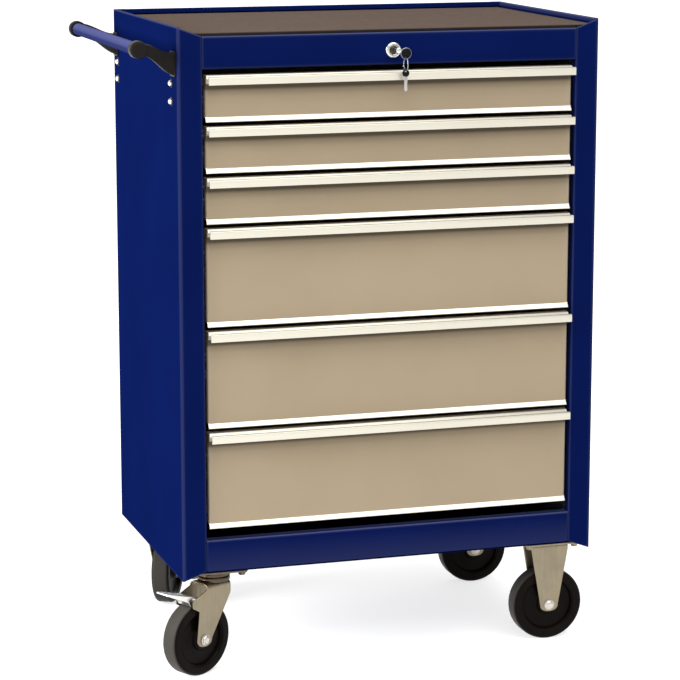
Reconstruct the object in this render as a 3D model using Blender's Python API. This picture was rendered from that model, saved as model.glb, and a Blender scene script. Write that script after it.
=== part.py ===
"""Six-drawer tool cart: a folded steel cabinet on two fixed and two braked swivel castors.

Lengths are in metres and Z is up. The drawers face -Y and the push handle is on the -X side.
The origin is on the floor, under the middle of the whole cart.
"""

import math

import bmesh
import bpy
from mathutils import Matrix, Vector

# Cabinet shell
cabinet_width = 0.674
cabinet_depth = 0.432
cabinet_height = 0.850
shell_sheet = 0.0012
post_width = 0.038
post_return = 0.018
post_top_drop = 0.014
post_foot_rise = 0.014
rear_flange = 0.018
corner_radius = 0.0045
fold_radius = 0.002
rim_width = 0.006
rim_depth = 0.007
rail_height = 0.049
rail_return = 0.018
back_foot = 0.020
pan_rise = 0.010
pan_wall = 0.025
plate_skirt = 0.020
mat_thickness = 0.005
mat_inset = 0.003
mat_front = 0.006

# Clearances
seat_gap = 0.0003
weld_depth = 0.0005
cut_overrun = 0.004

# Drawers, from the top of the opening down
shallow_count = 3
deep_count = 3
shallow_height = 0.071
first_drop = 0.009
last_rise = 0.0175
front_gap = 0.006
front_side_gap = 0.005
front_recess = 0.005
front_return = 0.012
flare_height = 0.007
drawer_sheet = 0.001
tray_rear_room = 0.0343
tray_floor_rise = 0.004
tray_top_drop = 0.008

# Drawer slides
slide_space = 0.0135
slide_height = 0.035
slide_sheet = 0.0012
slide_lip_drop = 0.009
slide_slot = 0.021
slide_share = 0.62
runner_reach = 0.0105

# Drawer pulls
pull_reach = 0.017
pull_height = 0.0135
pull_side_gap = 0.006
pull_lip = 0.0045
pull_groove = 0.0045
pull_wall = 0.0016

# Push handle
handle_reach = 0.060
handle_drop = 0.031
handle_radius = 0.0095
handle_overrun = 0.004
cup_radius = 0.013
cup_length = 0.020
cup_overrun = 0.012
cup_depth = 0.012
pad_width = 0.026
pad_height = 0.034
pad_inset = 0.008
pad_drop = 0.038
arm_width = 0.013
arm_height = 0.018

# Castors
castor_head_height = 0.048
castor_side_inset = 0.059
castor_front_inset = 0.0435
wheel_radius = 0.059
wheel_width = 0.030
wheel_shoulder = 0.006
wheel_web_inset = 0.006
wheel_tread = 0.015
wheel_hub_radius = 0.017
wheel_hub_side = 0.002
leg_gap = 0.003
leg_sheet = 0.0025
leg_end_radius = 0.0155
leg_end_drop = 0.0108
leg_end_share = 0.7
leg_bend = 0.006
top_plate_length = 0.095
top_plate_width = 0.075
top_plate_sheet = 0.003
rigid_half_width = 0.0315
rigid_drop = 0.004
axle_radius = 0.005
axle_clearance = 0.0003
axle_head_radius = 0.0085
axle_head = 0.0045
trail = 0.038
front_castor_turn = math.radians(208.6)
rear_castor_turn = math.radians(62.0)
race_radius = 0.029
race_height = 0.008
crown_radius = 0.026
crown_height = 0.009
crown_lead = 0.018
crown_trail = 0.032
shoulder_top = 0.026
shoulder_drop = 0.046
shoulder_lead = 0.006
ear_trail = 0.062
ear_height = 0.016
leg_trail = 0.010
pedal_pivot_trail = 0.052
pedal_pivot_drop = 0.0305
pedal_toe_reach = 0.010
pedal_toe_drop = 0.0075
pedal_hub_radius = 0.005
pedal_half_width = 0.014
pedal_reach = 0.056
pedal_rise = 0.016
pedal_sheet = 0.003
pedal_pin_radius = 0.003

# Lock, its keys and the bar behind the drawers
lock_drop = 0.0412
escutcheon_radius = 0.0123
escutcheon_proud = 0.003
barrel_radius = 0.0095
barrel_length = 0.024
plug_radius = 0.0063
plug_proud = 0.002
cam_reach = 0.016
cam_half_width = 0.004
cam_sheet = 0.0025
key_clearance = 0.0105
key_shank_half_height = 0.004
key_shank_half_width = 0.001
key_boss_radius = 0.0045
key_head_radius = 0.0085
key_head_sheet = 0.0030
key_head_side = 0.011
key_head_fall = 0.003
ring_hole_radius = 0.0016
ring_hole_margin = 0.001
ring_radius = 0.010
ring_wire = 0.0008
spare_bow_radius = 0.0055
spare_sheet = 0.0022
spare_blade_half_width = 0.0027
spare_blade_length = 0.022
spare_hole_margin = 0.0007
bar_half_width = 0.010
bar_sheet = 0.002
bar_tray_gap = 0.016
bar_back_gap = 0.0163
hook_sheet = 0.002
hook_tray_gap = 0.004
catch_half_width = 0.0125
catch_reach = 0.012
catch_drop = 0.009
catch_sheet = 0.0015
catch_top_drop = 0.016
hook_clearance = 0.0055
lug_clearance = 0.0008
guide_wall = 0.0012
guide_lip = 0.004
guide_height = 0.020
rocker_half_sheet = 0.0015
rocker_height = 0.010
rocker_drop = 0.047
rocker_crank = 0.006
rocker_taper = 0.015
finger_length = 0.017
finger_clearance = 0.0035
rocker_pin_radius = 0.003
rocker_ear_sheet = 0.002
rocker_ear_half_width = 0.010

# Fineness of the round shapes
bend_steps = 3
wheel_steps = 32
small_steps = 16
ring_steps = 20
end_steps = 4

# Places that follow from the sizes above
X, Y, Z = 0, 1, 2
half_width = cabinet_width / 2
opening_half = half_width - post_width
opening_top = cabinet_height - post_top_drop - rail_height
opening_foot = post_foot_rise + rail_height
shelf_top = cabinet_height - post_top_drop
inner_half = half_width - shell_sheet - seat_gap
back_outer = cabinet_depth - shell_sheet - seat_gap
back_inner = back_outer - shell_sheet
pan_top = pan_rise + shell_sheet
front_half = opening_half - front_side_gap
tray_half = opening_half - slide_space
tray_back = back_inner - tray_rear_room
slide_length = tray_back - front_recess - front_return
drawer_count = shallow_count + deep_count
free_height = opening_top - opening_foot - first_drop - last_rise - front_gap * (drawer_count - 1)
deep_height = (free_height - shallow_height * shallow_count) / deep_count
leg_inner = wheel_width / 2 + leg_gap
leg_outer = leg_inner + leg_sheet
lock_height = cabinet_height - lock_drop
key_plane = pull_reach + key_clearance
front_reach = key_plane + ring_radius + ring_wire
pedal_sweep = (pedal_pivot_trail + pedal_reach) * math.sin(rear_castor_turn)
pedal_sweep += pedal_half_width * math.cos(rear_castor_turn)
rear_reach = max(cup_overrun, pedal_sweep - castor_front_inset)
side_reach = handle_reach + cup_radius
castor_height = 2 * wheel_radius + castor_head_height
wheel_rim_radius = wheel_radius - wheel_tread
floor_drop = castor_height - pan_rise


def material(name, color, roughness, metallic):
    """A Principled material of one colour."""
    made = bpy.data.materials.new(name)
    made.use_nodes = True
    shader = made.node_tree.nodes["Principled BSDF"]
    shader.inputs["Base Color"].default_value = (*color, 1)
    shader.inputs["Roughness"].default_value = roughness
    shader.inputs["Metallic"].default_value = metallic
    return made


def closed_mesh(name, bm, smooth=False):
    """Turns a bmesh into a mesh with its faces pointing out."""
    bmesh.ops.recalc_face_normals(bm, faces=bm.faces)
    mesh = bpy.data.meshes.new(name)
    bm.to_mesh(mesh)
    bm.free()
    if smooth:
        mesh.shade_smooth()
        mesh.set_sharp_from_angle(angle=math.radians(35))
    return mesh


def point(axis, a, b, along):
    """A corner in space from its two coordinates across an axis, in X, Y, Z order, and one along it."""
    return {X: (along, a, b), Y: (a, along, b), Z: (a, b, along)}[axis]


def block(name, low, high):
    """A box between two corners."""
    bm = bmesh.new()
    middle = (Vector(low) + Vector(high)) / 2
    size = Vector(high) - Vector(low)
    bmesh.ops.create_cube(bm, size=1, matrix=Matrix.Translation(middle) @ Matrix.Diagonal((*size, 1)))
    return closed_mesh(name, bm)


def prism(name, outline, axis, low, high, smooth=False):
    """A flat outline carried from low to high along an axis."""
    bm = bmesh.new()
    ends = [[bm.verts.new(point(axis, a, b, along)) for a, b in outline] for along in (low, high)]
    for end in ends:
        bm.faces.new(end)
    for i in range(len(outline)):
        j = (i + 1) % len(outline)
        bm.faces.new((ends[0][i], ends[0][j], ends[1][j], ends[1][i]))
    return closed_mesh(name, bm, smooth)


def turned(name, profile, steps, closed=False):
    """A profile of (radius, height) points turned about Z; a closed profile makes a ring."""
    bm = bmesh.new()
    verts = [bm.verts.new((radius, 0, height)) for radius, height in profile]
    pairs = list(zip(verts, verts[1:]))
    if closed:
        pairs.append((verts[-1], verts[0]))
    edges = [bm.edges.new(pair) for pair in pairs]
    bmesh.ops.spin(
        bm, geom=verts + edges, cent=(0, 0, 0), axis=(0, 0, 1), angle=2 * math.pi, steps=steps, use_merge=True
    )
    bmesh.ops.remove_doubles(bm, verts=bm.verts, dist=seat_gap / 30)
    return closed_mesh(name, bm, smooth=True)


def moved(mesh, matrix):
    """The same mesh, moved in its own space."""
    mesh.transform(matrix)
    return mesh


def lying(mesh, axis, place):
    """A mesh turned about Z, laid along X or Y with its +Z end leading, and moved to a place."""
    turns = {
        X: Matrix.Rotation(math.radians(90), 4, "Y"),
        Y: Matrix.Rotation(math.radians(-90), 4, "X"),
        Z: Matrix.Identity(4),
    }
    return moved(mesh, Matrix.Translation(place) @ turns[axis])


def rod(name, radius, low, high, axis, place, steps=small_steps):
    """A round bar along an axis, from low to high, through a place."""
    profile = [(0, low), (radius, low), (radius, high), (0, high)]
    return lying(turned(name, profile, steps), axis, place)


def merged(name, bodies, cuts=(), smooth=False):
    """One closed body: the bodies joined, less the cutters."""
    work = [bpy.data.objects.new(name, mesh) for mesh in (*bodies, *cuts)]
    for i, obj in enumerate(work):
        bpy.context.scene.collection.objects.link(obj)
        if i == 0:
            continue
        modifier = work[0].modifiers.new(name, "BOOLEAN")
        modifier.operation = "UNION" if i < len(bodies) else "DIFFERENCE"
        modifier.object = obj
    graph = bpy.context.evaluated_depsgraph_get()
    mesh = bpy.data.meshes.new_from_object(work[0].evaluated_get(graph))
    for obj in work:
        bpy.data.objects.remove(obj)
    if smooth:
        mesh.shade_smooth()
        mesh.set_sharp_from_angle(angle=math.radians(35))
    return mesh


def rounded(corners, radius):
    """A path of straight runs whose inner corners are arcs. radius is one value or one for each inner corner."""
    radii = radius if isinstance(radius, list) else [radius] * (len(corners) - 2)
    path = [Vector(corners[0])]
    for before, corner, after, bend in zip(corners, corners[1:], corners[2:], radii):
        corner = Vector(corner)
        back = (Vector(before) - corner).normalized()
        ahead = (Vector(after) - corner).normalized()
        half = back.angle(ahead) / 2
        centre = corner + (back + ahead).normalized() * (bend / math.sin(half))
        start = corner + back * (bend / math.tan(half)) - centre
        end = corner + ahead * (bend / math.tan(half)) - centre
        turn = start.angle_signed(end)
        for i in range(bend_steps + 1):
            step = Matrix.Rotation(-turn * i / bend_steps, 2)
            path.append(centre + step @ start)
    path.append(Vector(corners[-1]))
    return path


def beside(path, distance):
    """The path moved sideways, to its left as it is travelled."""
    moved_path = []
    for i, spot in enumerate(path):
        runs = []
        if i > 0:
            runs.append((spot - path[i - 1]).normalized())
        if i < len(path) - 1:
            runs.append((path[i + 1] - spot).normalized())
        normals = [Vector((-run.y, run.x)) for run in runs]
        normal = sum(normals, Vector((0, 0))).normalized()
        moved_path.append(spot + normal * (distance / normal.dot(normals[0])))
    return moved_path


def folded(name, path, axis, low, high, thickness, smooth=True):
    """Sheet metal: a path across an axis, with a thickness to its left, from low to high along the axis.

    low and high are one value, or a function of the path's point."""
    bm = bmesh.new()
    path = [Vector(spot) for spot in path]
    stations = []
    for outer, inner in zip(path, beside(path, thickness)):
        ends = [limit(outer) if callable(limit) else limit for limit in (low, high)]
        ring = ((outer, ends[0]), (outer, ends[1]), (inner, ends[1]), (inner, ends[0]))
        stations.append([bm.verts.new(point(axis, spot.x, spot.y, along)) for spot, along in ring])
    bm.faces.new(stations[0])
    bm.faces.new(stations[-1])
    for this, following in zip(stations, stations[1:]):
        for i in range(4):
            j = (i + 1) % 4
            bm.faces.new((this[i], this[j], following[j], following[i]))
    return closed_mesh(name, bm, smooth)


def open_box(name, low, high, wall, mouth):
    """A box of sheet with one side open. mouth is the outward direction of the open side."""
    bm = bmesh.new()
    middle = (Vector(low) + Vector(high)) / 2
    size = Vector(high) - Vector(low)
    bmesh.ops.create_cube(bm, size=1, matrix=Matrix.Translation(middle) @ Matrix.Diagonal((*size, 1)))
    bmesh.ops.recalc_face_normals(bm, faces=bm.faces)
    mouth = Vector(mouth)
    side = max(bm.faces, key=lambda face: face.normal.dot(mouth))
    bmesh.ops.inset_region(bm, faces=[side], thickness=wall)
    pushed = bmesh.ops.extrude_face_region(bm, geom=[side])
    bmesh.ops.delete(bm, geom=[side], context="FACES_ONLY")
    verts = [item for item in pushed["geom"] if isinstance(item, bmesh.types.BMVert)]
    depth = abs(size.dot(mouth)) - wall
    bmesh.ops.translate(bm, verts=verts, vec=-mouth * depth)
    return closed_mesh(name, bm)


def tapered(name, foot, head):
    """A solid between two rectangles, each given as four corners in the same order."""
    bm = bmesh.new()
    ends = [[bm.verts.new(corner) for corner in end] for end in (foot, head)]
    for end in ends:
        bm.faces.new(end)
    for i in range(4):
        j = (i + 1) % 4
        bm.faces.new((ends[0][i], ends[0][j], ends[1][j], ends[1][i]))
    return closed_mesh(name, bm)


def frame(name, place, parent=None, turn=0):
    """An empty that carries pieces, turned about Z."""
    empty = bpy.data.objects.new(name, None)
    empty.location = place
    empty.rotation_euler = (0, 0, turn)
    empty.parent = parent
    bpy.context.scene.collection.objects.link(empty)
    return empty


def piece(name, mesh, finish, parent, place=(0, 0, 0)):
    """A named solid on its carrier."""
    if not mesh.materials:
        mesh.materials.append(finish)
    obj = bpy.data.objects.new(name, mesh)
    obj.location = place
    obj.parent = parent
    bpy.context.scene.collection.objects.link(obj)
    return obj


def mirrored(mesh, axis, about=0):
    """A copy of a mesh, mirrored across an axis about a place on it."""
    flip = Matrix.Identity(4)
    flip[axis][axis] = -1
    flip[axis][3] = 2 * about
    copy = mesh.copy()
    copy.transform(flip)
    copy.flip_normals()
    return copy


def drawer_places():
    """(number, height of the front's lower edge, height of the front) for each drawer from the top."""
    places = []
    top = opening_top - first_drop
    for number in range(1, drawer_count + 1):
        height = shallow_height if number <= shallow_count else deep_height
        places.append((number, top - height, height))
        top -= height + front_gap
    return places


def slide_height_in(height):
    """Height of a slide's middle above its drawer's lower edge."""
    return flare_height + (height - flare_height) * slide_share


def side_panel():
    """The left wall: a sheet folded round the front into a post and behind into a flange, with a hemmed rim."""
    path = rounded(
        [
            (rear_flange - half_width, cabinet_depth),
            (-half_width, cabinet_depth),
            (-half_width, 0),
            (-opening_half, 0),
            (-opening_half, post_return),
        ],
        [fold_radius, corner_radius, fold_radius],
    )

    def cut_share(spot):
        return min(max((spot.x + half_width) / post_width, 0), 1) if spot.y < cabinet_depth / 2 else 0

    wall = folded(
        "side_panel",
        path,
        Z,
        lambda spot: post_foot_rise * cut_share(spot),
        lambda spot: cabinet_height - post_top_drop * cut_share(spot),
        shell_sheet,
    )
    rim = block(
        "rim",
        (weld_depth - half_width, corner_radius + post_return, cabinet_height - rim_depth),
        (rim_width - half_width, back_inner - rim_width - seat_gap, cabinet_height - weld_depth),
    )
    return merged("side_panel", [wall, rim])


def back_panel():
    """The rear wall with its foot, its hemmed top and two guides for the lock bar."""
    path = rounded(
        [
            (back_outer - back_foot, pan_top + seat_gap),
            (back_outer, pan_top + seat_gap),
            (back_outer, cabinet_height),
            (back_outer - rim_width, cabinet_height),
            (back_outer - rim_width, cabinet_height - rim_depth),
        ],
        fold_radius,
    )
    back_half = inner_half - fold_radius - seat_gap
    wall = folded("back_panel", path, X, -back_half, back_half, shell_sheet)
    bar_back = back_inner - bar_back_gap
    bar_front = bar_back - bar_sheet
    slot_half = bar_half_width + seat_gap
    outer_half = slot_half + guide_wall
    lip_front = bar_front - seat_gap - guide_wall
    right = [
        (slot_half, bar_back + seat_gap),
        (slot_half, lip_front + guide_wall),
        (slot_half - guide_lip, lip_front + guide_wall),
        (slot_half - guide_lip, lip_front),
        (outer_half, lip_front),
        (outer_half, back_inner + weld_depth),
    ]
    outline = right + [(-x, y) for x, y in reversed(right)]
    places = drawer_places()
    guides = [
        prism("guide", outline, Z, height - guide_height, height)
        for height in (places[0][1], places[-1][1])
    ]
    return merged("back_panel", [wall, *guides])


def base_pan():
    """The floor of the cabinet, turned up at both sides; the castor plates are bolted under it."""
    path = rounded(
        [
            (-inner_half, pan_rise + pan_wall),
            (-inner_half, pan_rise),
            (inner_half, pan_rise),
            (inner_half, pan_rise + pan_wall),
        ],
        fold_radius,
    )
    return folded("base_pan", path, Y, shell_sheet + corner_radius, back_inner - seat_gap, shell_sheet)


def front_rail(foot, closed_below):
    """A rail between the posts: its face with a return at the top and, on the upper rail, at the foot."""
    top = foot + rail_height
    corners = [(0, foot), (0, top), (rail_return, top)]
    if closed_below:
        corners.insert(0, (rail_return, foot))
    half = opening_half - seat_gap
    return folded("front_rail", rounded(corners, fold_radius), X, -half, half, -shell_sheet)


def top_plate():
    """The shelf under the mat, turned down at both sides, with the ears and pin of the lock rocker."""
    path = rounded(
        [
            (-inner_half, shelf_top - plate_skirt),
            (-inner_half, shelf_top),
            (inner_half, shelf_top),
            (inner_half, shelf_top - plate_skirt),
        ],
        fold_radius,
    )
    shelf = folded("top_plate", path, Y, rail_return + seat_gap, back_inner - seat_gap, -shell_sheet)
    pivot_y, pivot_z = rocker_pivot()
    inner = rocker_half_sheet + seat_gap
    outer = inner + rocker_ear_sheet
    ears = [
        block(
            "ear",
            (min(side * inner, side * outer), pivot_y - rocker_ear_half_width, pivot_z - rocker_ear_half_width),
            (max(side * inner, side * outer), pivot_y + rocker_ear_half_width, shelf_top - weld_depth),
        )
        for side in (-1, 1)
    ]
    reach = outer + weld_depth
    pin = rod("pin", rocker_pin_radius, -reach, reach, X, (0, pivot_y, pivot_z))
    return merged("top_plate", [shelf, *ears, pin])


def top_mat():
    """The ribbed rubber mat that lies on the shelf."""
    bm = bmesh.new()
    half = half_width - rim_width - mat_inset
    low = Vector((-half, mat_front, shelf_top + seat_gap))
    high = Vector((half, back_outer - rim_width - mat_inset, shelf_top + seat_gap + mat_thickness))
    size = high - low
    place = Matrix.Translation((low + high) / 2) @ Matrix.Diagonal((*size, 1))
    bmesh.ops.create_cube(bm, size=1, matrix=place)
    bmesh.ops.bevel(
        bm, geom=list(bm.edges), offset=mat_thickness / 5, segments=1, affect="EDGES", profile=0.5
    )
    return closed_mesh("top_mat", bm)


def slide_liner():
    """The left inner liner with one fixed slide channel for each drawer."""
    web = -opening_half
    lip = web + slide_lip_drop
    outline = [(web - slide_sheet, pan_top + seat_gap), (web, pan_top + seat_gap)]
    for _, foot, height in reversed(drawer_places()):
        middle = foot + slide_height_in(height)
        lower = [
            (web, -slide_height / 2),
            (lip, -slide_height / 2),
            (lip, -slide_slot / 2),
            (lip - slide_sheet, -slide_slot / 2),
            (lip - slide_sheet, slide_sheet - slide_height / 2),
            (web, slide_sheet - slide_height / 2),
        ]
        outline += [(x, middle + z) for x, z in lower]
        outline += [(x, middle - z) for x, z in reversed(lower)]
    top = shelf_top - shell_sheet - seat_gap
    outline += [(web, top), (web - slide_sheet, top)]
    front = post_return + seat_gap
    return prism("slide_liner", outline, Y, front, front + seat_gap + slide_length)


def runner():
    """The left moving slide member, a channel fixed to the drawer's wall, about its own middle height."""
    wall = -tray_half - seat_gap
    half = slide_slot / 2 - seat_gap
    path = rounded([(wall - runner_reach, half), (wall, half), (wall, -half), (wall - runner_reach, -half)], slide_sheet)
    start = front_recess + front_return + seat_gap
    return folded("runner", path, Y, start, start + slide_length, -slide_sheet)


def drawer_tray(height):
    """A drawer: its front with returned edges and a flared foot, its welded tray and its lock catch."""
    front = open_box(
        "front",
        (-front_half, front_recess, flare_height),
        (front_half, front_recess + front_return, height),
        drawer_sheet,
        (0, 1, 0),
    )
    run = Vector((front_recess, flare_height))
    flare = folded(
        "flare", [(0, 0), run + run.normalized() * weld_depth], X, -front_half, front_half, -drawer_sheet, smooth=False
    )
    floor = flare_height + tray_floor_rise
    tray = open_box(
        "tray",
        (-tray_half, front_recess + weld_depth, floor),
        (tray_half, tray_back, height - tray_top_drop),
        drawer_sheet,
        (0, 0, 1),
    )
    top = height - catch_top_drop
    reach = tray_back + catch_reach
    outline = [
        (tray_back - weld_depth, top),
        (reach, top),
        (reach, top - catch_drop),
        (reach - catch_sheet, top - catch_drop),
        (reach - catch_sheet, top - catch_sheet),
        (tray_back - weld_depth, top - catch_sheet),
    ]
    catch = prism("catch", outline, X, -catch_half_width, catch_half_width)
    return merged("drawer_tray", [front, flare, tray, catch])


def drawer_pull():
    """The full-width pull: a flange against the front, a finger groove and a rounded lip, about its top rear edge."""
    nose = [
        (
            pull_lip * (1 - math.cos(math.radians(90) * i / end_steps)) - pull_reach,
            pull_lip * math.sin(math.radians(90) * i / end_steps) - pull_lip - pull_wall,
        )
        for i in range(end_steps + 1)
    ]
    back = front_recess - seat_gap
    groove_deep = -pull_groove - pull_wall
    outline = [
        (back, 0),
        (0, 0),
        (-pull_wall, -pull_wall),
        (-pull_groove, groove_deep * 0.9),
        (-pull_reach / 2, groove_deep),
        (pull_lip + pull_groove / 2 - pull_reach, groove_deep + pull_wall / 2),
        (pull_lip - pull_reach, -pull_wall),
        *reversed(nose[:-1]),
        (-pull_reach, -pull_height + pull_wall),
        (pull_wall - pull_reach, -pull_height),
        (2 * pull_wall - pull_reach, -pull_height + pull_wall),
        (pull_lip + pull_groove / 2 - pull_reach, groove_deep - pull_wall),
        (-pull_groove, groove_deep - pull_wall),
        (0, -pull_height + pull_wall),
        (back, -pull_height),
    ]
    half = opening_half - pull_side_gap
    return prism("drawer_pull", outline, X, -half, half)


def handle_bracket():
    """The front bracket of the push handle: a pad on the side panel, a tapering arm and a cup for the tube's end."""
    tube_x = -half_width - handle_reach
    tube_z = cabinet_height - handle_drop
    cup_low = -cup_overrun
    cup_high = cup_low + cup_length
    cup = rod("cup", cup_radius, cup_low, cup_high, Y, (tube_x, 0, tube_z), ring_steps)
    pad_x = -half_width - seat_gap
    pad_z = cabinet_height - pad_drop
    pad_y = pad_inset + pad_width
    arm_x = tube_x + cup_radius / 2
    middle = (cup_low + cup_high) / 2
    arm = tapered(
        "arm",
        [
            (pad_x, pad_inset, pad_z - pad_height),
            (pad_x, pad_y, pad_z - pad_height),
            (pad_x, pad_y, pad_z),
            (pad_x, pad_inset, pad_z),
        ],
        [
            (arm_x, middle - arm_width / 2, tube_z - arm_height / 2),
            (arm_x, middle + arm_width / 2, tube_z - arm_height / 2),
            (arm_x, middle + arm_width / 2, tube_z + arm_height / 2),
            (arm_x, middle - arm_width / 2, tube_z + arm_height / 2),
        ],
    )
    bore = rod(
        "bore",
        handle_radius + seat_gap,
        cup_high - cup_depth,
        cup_high + cut_overrun,
        Y,
        (tube_x, 0, tube_z),
        ring_steps,
    )
    return merged("handle_bracket", [cup, arm], [bore], smooth=True)


def castor_wheel():
    """A wheel about Z: a broad tread with round shoulders, dished webs and a bored hub."""
    half = wheel_width / 2
    hub = half + wheel_hub_side
    web = half - wheel_web_inset
    shoulder = [
        (
            wheel_radius - wheel_shoulder + wheel_shoulder * math.cos(math.radians(90) * i / bend_steps),
            half - wheel_shoulder + wheel_shoulder * math.sin(math.radians(90) * i / bend_steps),
        )
        for i in range(bend_steps + 1)
    ]
    upper = [
        *shoulder,
        (wheel_rim_radius, half),
        (wheel_rim_radius - wheel_web_inset / 2, web),
        (wheel_hub_radius + wheel_web_inset / 2, web),
        (wheel_hub_radius, hub),
        (axle_radius + axle_clearance, hub),
    ]
    profile = upper + [(radius, -height) for radius, height in reversed(upper)]
    return turned("castor_wheel", profile, wheel_steps, closed=True)


def castor_axle():
    """A bolt about Z with a domed head at each end, through both legs and the wheel."""
    face = leg_outer + seat_gap
    dome = [
        (
            axle_head_radius * math.cos(math.radians(90) * i / end_steps),
            face + axle_head * math.sin(math.radians(90) * i / end_steps),
        )
        for i in range(end_steps)
    ]
    upper = [(0, face + axle_head), *reversed(dome), (axle_radius, face)]
    profile = upper + [(radius, -height) for radius, height in reversed(upper)]
    return turned("castor_axle", profile, small_steps)


def axle_bore():
    """The cutter for the axle's holes in both legs of a fork."""
    reach = leg_outer + cut_overrun
    return rod("axle_bore", axle_radius + axle_clearance, -reach, reach, Y, (0, 0, 0))


def leg_tip(centre, low_share=-1, high_share=1):
    """(height, low, high) stations of a leg's blunt round end, from its tip up to the axle."""
    stations = []
    for i in range(end_steps):
        angle = math.radians(90) * (1 - (i + 0.5) / end_steps)
        spread = leg_end_radius * math.cos(angle) ** leg_end_share
        height = -leg_end_drop * math.sin(angle)
        stations.append((height, centre + low_share * spread, centre + high_share * spread))
    return stations


def fork_sheet(name, stations, top):
    """A strap bent over the wheel. stations are (height, low, high) up one leg, and top is the crown's."""
    height, low, high = top
    bend = []
    for i in range(bend_steps + 1):
        angle = math.radians(90) * i / bend_steps
        side = leg_inner - leg_bend * (1 - math.cos(angle))
        bend.append((side, height - leg_bend * (1 - math.sin(angle)), low, high))
    leg = [(leg_inner, z, lower, upper) for z, lower, upper in stations] + bend
    whole = leg + [(-side, z, lower, upper) for side, z, lower, upper in reversed(leg)]
    path = [(side, z) for side, z, _, _ in whole]
    widths = {(round(side, 6), round(z, 6)): (lower, upper) for side, z, lower, upper in whole}

    def width(spot, end):
        return widths[(round(spot.x, 6), round(spot.y, 6))][end]

    return folded(
        name, path, X, lambda spot: width(spot, 0), lambda spot: width(spot, 1), -leg_sheet
    )


def castor_top_plate():
    """The bolted plate at the top of a castor, about the castor's axle height."""
    top = castor_height - wheel_radius - seat_gap
    return block(
        "castor_top_plate",
        (-top_plate_length / 2, -top_plate_width / 2, top - top_plate_sheet),
        (top_plate_length / 2, top_plate_width / 2, top),
    )


def rigid_bracket():
    """A fixed castor's bracket about its axle: a top plate welded to a bent strap with two tapering legs."""
    crown = castor_height - wheel_radius - top_plate_sheet - leg_sheet
    bend_foot = crown - leg_bend
    stations = [
        *leg_tip(0),
        (0, -leg_end_radius, leg_end_radius),
        (bend_foot - rigid_drop, -rigid_half_width, rigid_half_width),
    ]
    strap = fork_sheet("strap", stations, (crown, -rigid_half_width, rigid_half_width))
    return merged("rigid_bracket", [castor_top_plate(), strap], [axle_bore()], smooth=True)


def swivel_plate():
    """A swivel castor's top plate with the upper ball race under it, about the swivel axis at axle height."""
    plate = castor_top_plate()
    top = castor_height - wheel_radius - seat_gap - top_plate_sheet
    race = rod("race", race_radius, top - race_height, top + weld_depth, Z, (0, 0, 0), wheel_steps)
    return merged("swivel_plate", [plate, race], smooth=True)


def swivel_fork():
    """A swivel castor's fork about its swivel axis at axle height; the wheel trails towards +X."""
    race_foot = castor_height - wheel_radius - seat_gap - top_plate_sheet - race_height
    crown_top = race_foot - seat_gap
    web = crown_top - crown_height - leg_sheet + weld_depth
    stations = [
        *leg_tip(trail),
        (0, trail - leg_end_radius, trail + leg_end_radius),
        (web - shoulder_drop + ear_height / 2, -shoulder_lead, trail + leg_trail),
        (web - shoulder_drop + ear_height, -shoulder_lead - leg_trail / 2, ear_trail),
        (web - shoulder_top + ear_height / 2, -crown_lead, ear_trail),
    ]
    strap = fork_sheet("strap", stations, (web, -crown_lead, crown_trail))
    crown = rod("crown", crown_radius, web + leg_sheet - weld_depth, crown_top, Z, (0, 0, 0), wheel_steps)
    bore = moved(axle_bore(), Matrix.Translation((trail, 0, 0)))
    return merged("swivel_fork", [strap, crown], [bore], smooth=True)


def brake_pedal():
    """The brake lever about its pivot pin: a hub between the legs, a toe over the tread and a foot plate."""
    slope = math.atan2(pedal_rise, pedal_reach)
    ahead = Vector((math.cos(slope), math.sin(slope)))
    across = Vector((-ahead.y, ahead.x))
    tip = ahead * math.hypot(pedal_reach, pedal_rise) + across * pedal_hub_radius
    hub = []
    for i in range(small_steps // 2 + 1):
        angle = math.radians(180) * i / (small_steps // 2)
        hub.append(pedal_hub_radius * (across * math.cos(angle) - ahead * math.sin(angle)))
    toe = Vector((pedal_toe_reach, -pedal_toe_drop))
    outline = [
        *hub,
        toe - ahead * pedal_sheet,
        toe,
        toe + (ahead + across) * pedal_hub_radius,
        tip - across * pedal_sheet,
        tip - ahead * pedal_sheet / 2,
    ]
    plate = prism("plate", [tuple(spot) for spot in outline], Y, -pedal_half_width, pedal_half_width)
    reach = leg_inner - seat_gap
    pin = rod("pin", pedal_pin_radius, -reach, reach, Y, (0, 0, 0))
    return merged("brake_pedal", [plate, pin])


def lock_barrel():
    """The lock's housing about Z, which points out of the cabinet: a rosette on the rail and a bored body."""
    bore = plug_radius + seat_gap
    profile = [
        (bore, escutcheon_proud),
        (escutcheon_radius - escutcheon_proud / 2, escutcheon_proud),
        (escutcheon_radius, escutcheon_proud / 2),
        (escutcheon_radius, seat_gap),
        (barrel_radius, seat_gap),
        (barrel_radius, -barrel_length),
        (bore, -barrel_length),
    ]
    return turned("lock_barrel", profile, ring_steps, closed=True)


def lock_plug():
    """The turning plug, along Y about the lock's axis at the front face, with its cam behind the barrel."""
    rear = barrel_length + seat_gap
    plug = rod("plug", plug_radius, -plug_proud, rear + cam_sheet / 2, Y, (0, 0, 0))
    cam = block(
        "cam", (-cam_half_width, rear, -cam_half_width), (cam_reach, rear + cam_sheet, cam_half_width)
    )
    return merged("lock_plug", [plug, cam], smooth=True)


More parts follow.
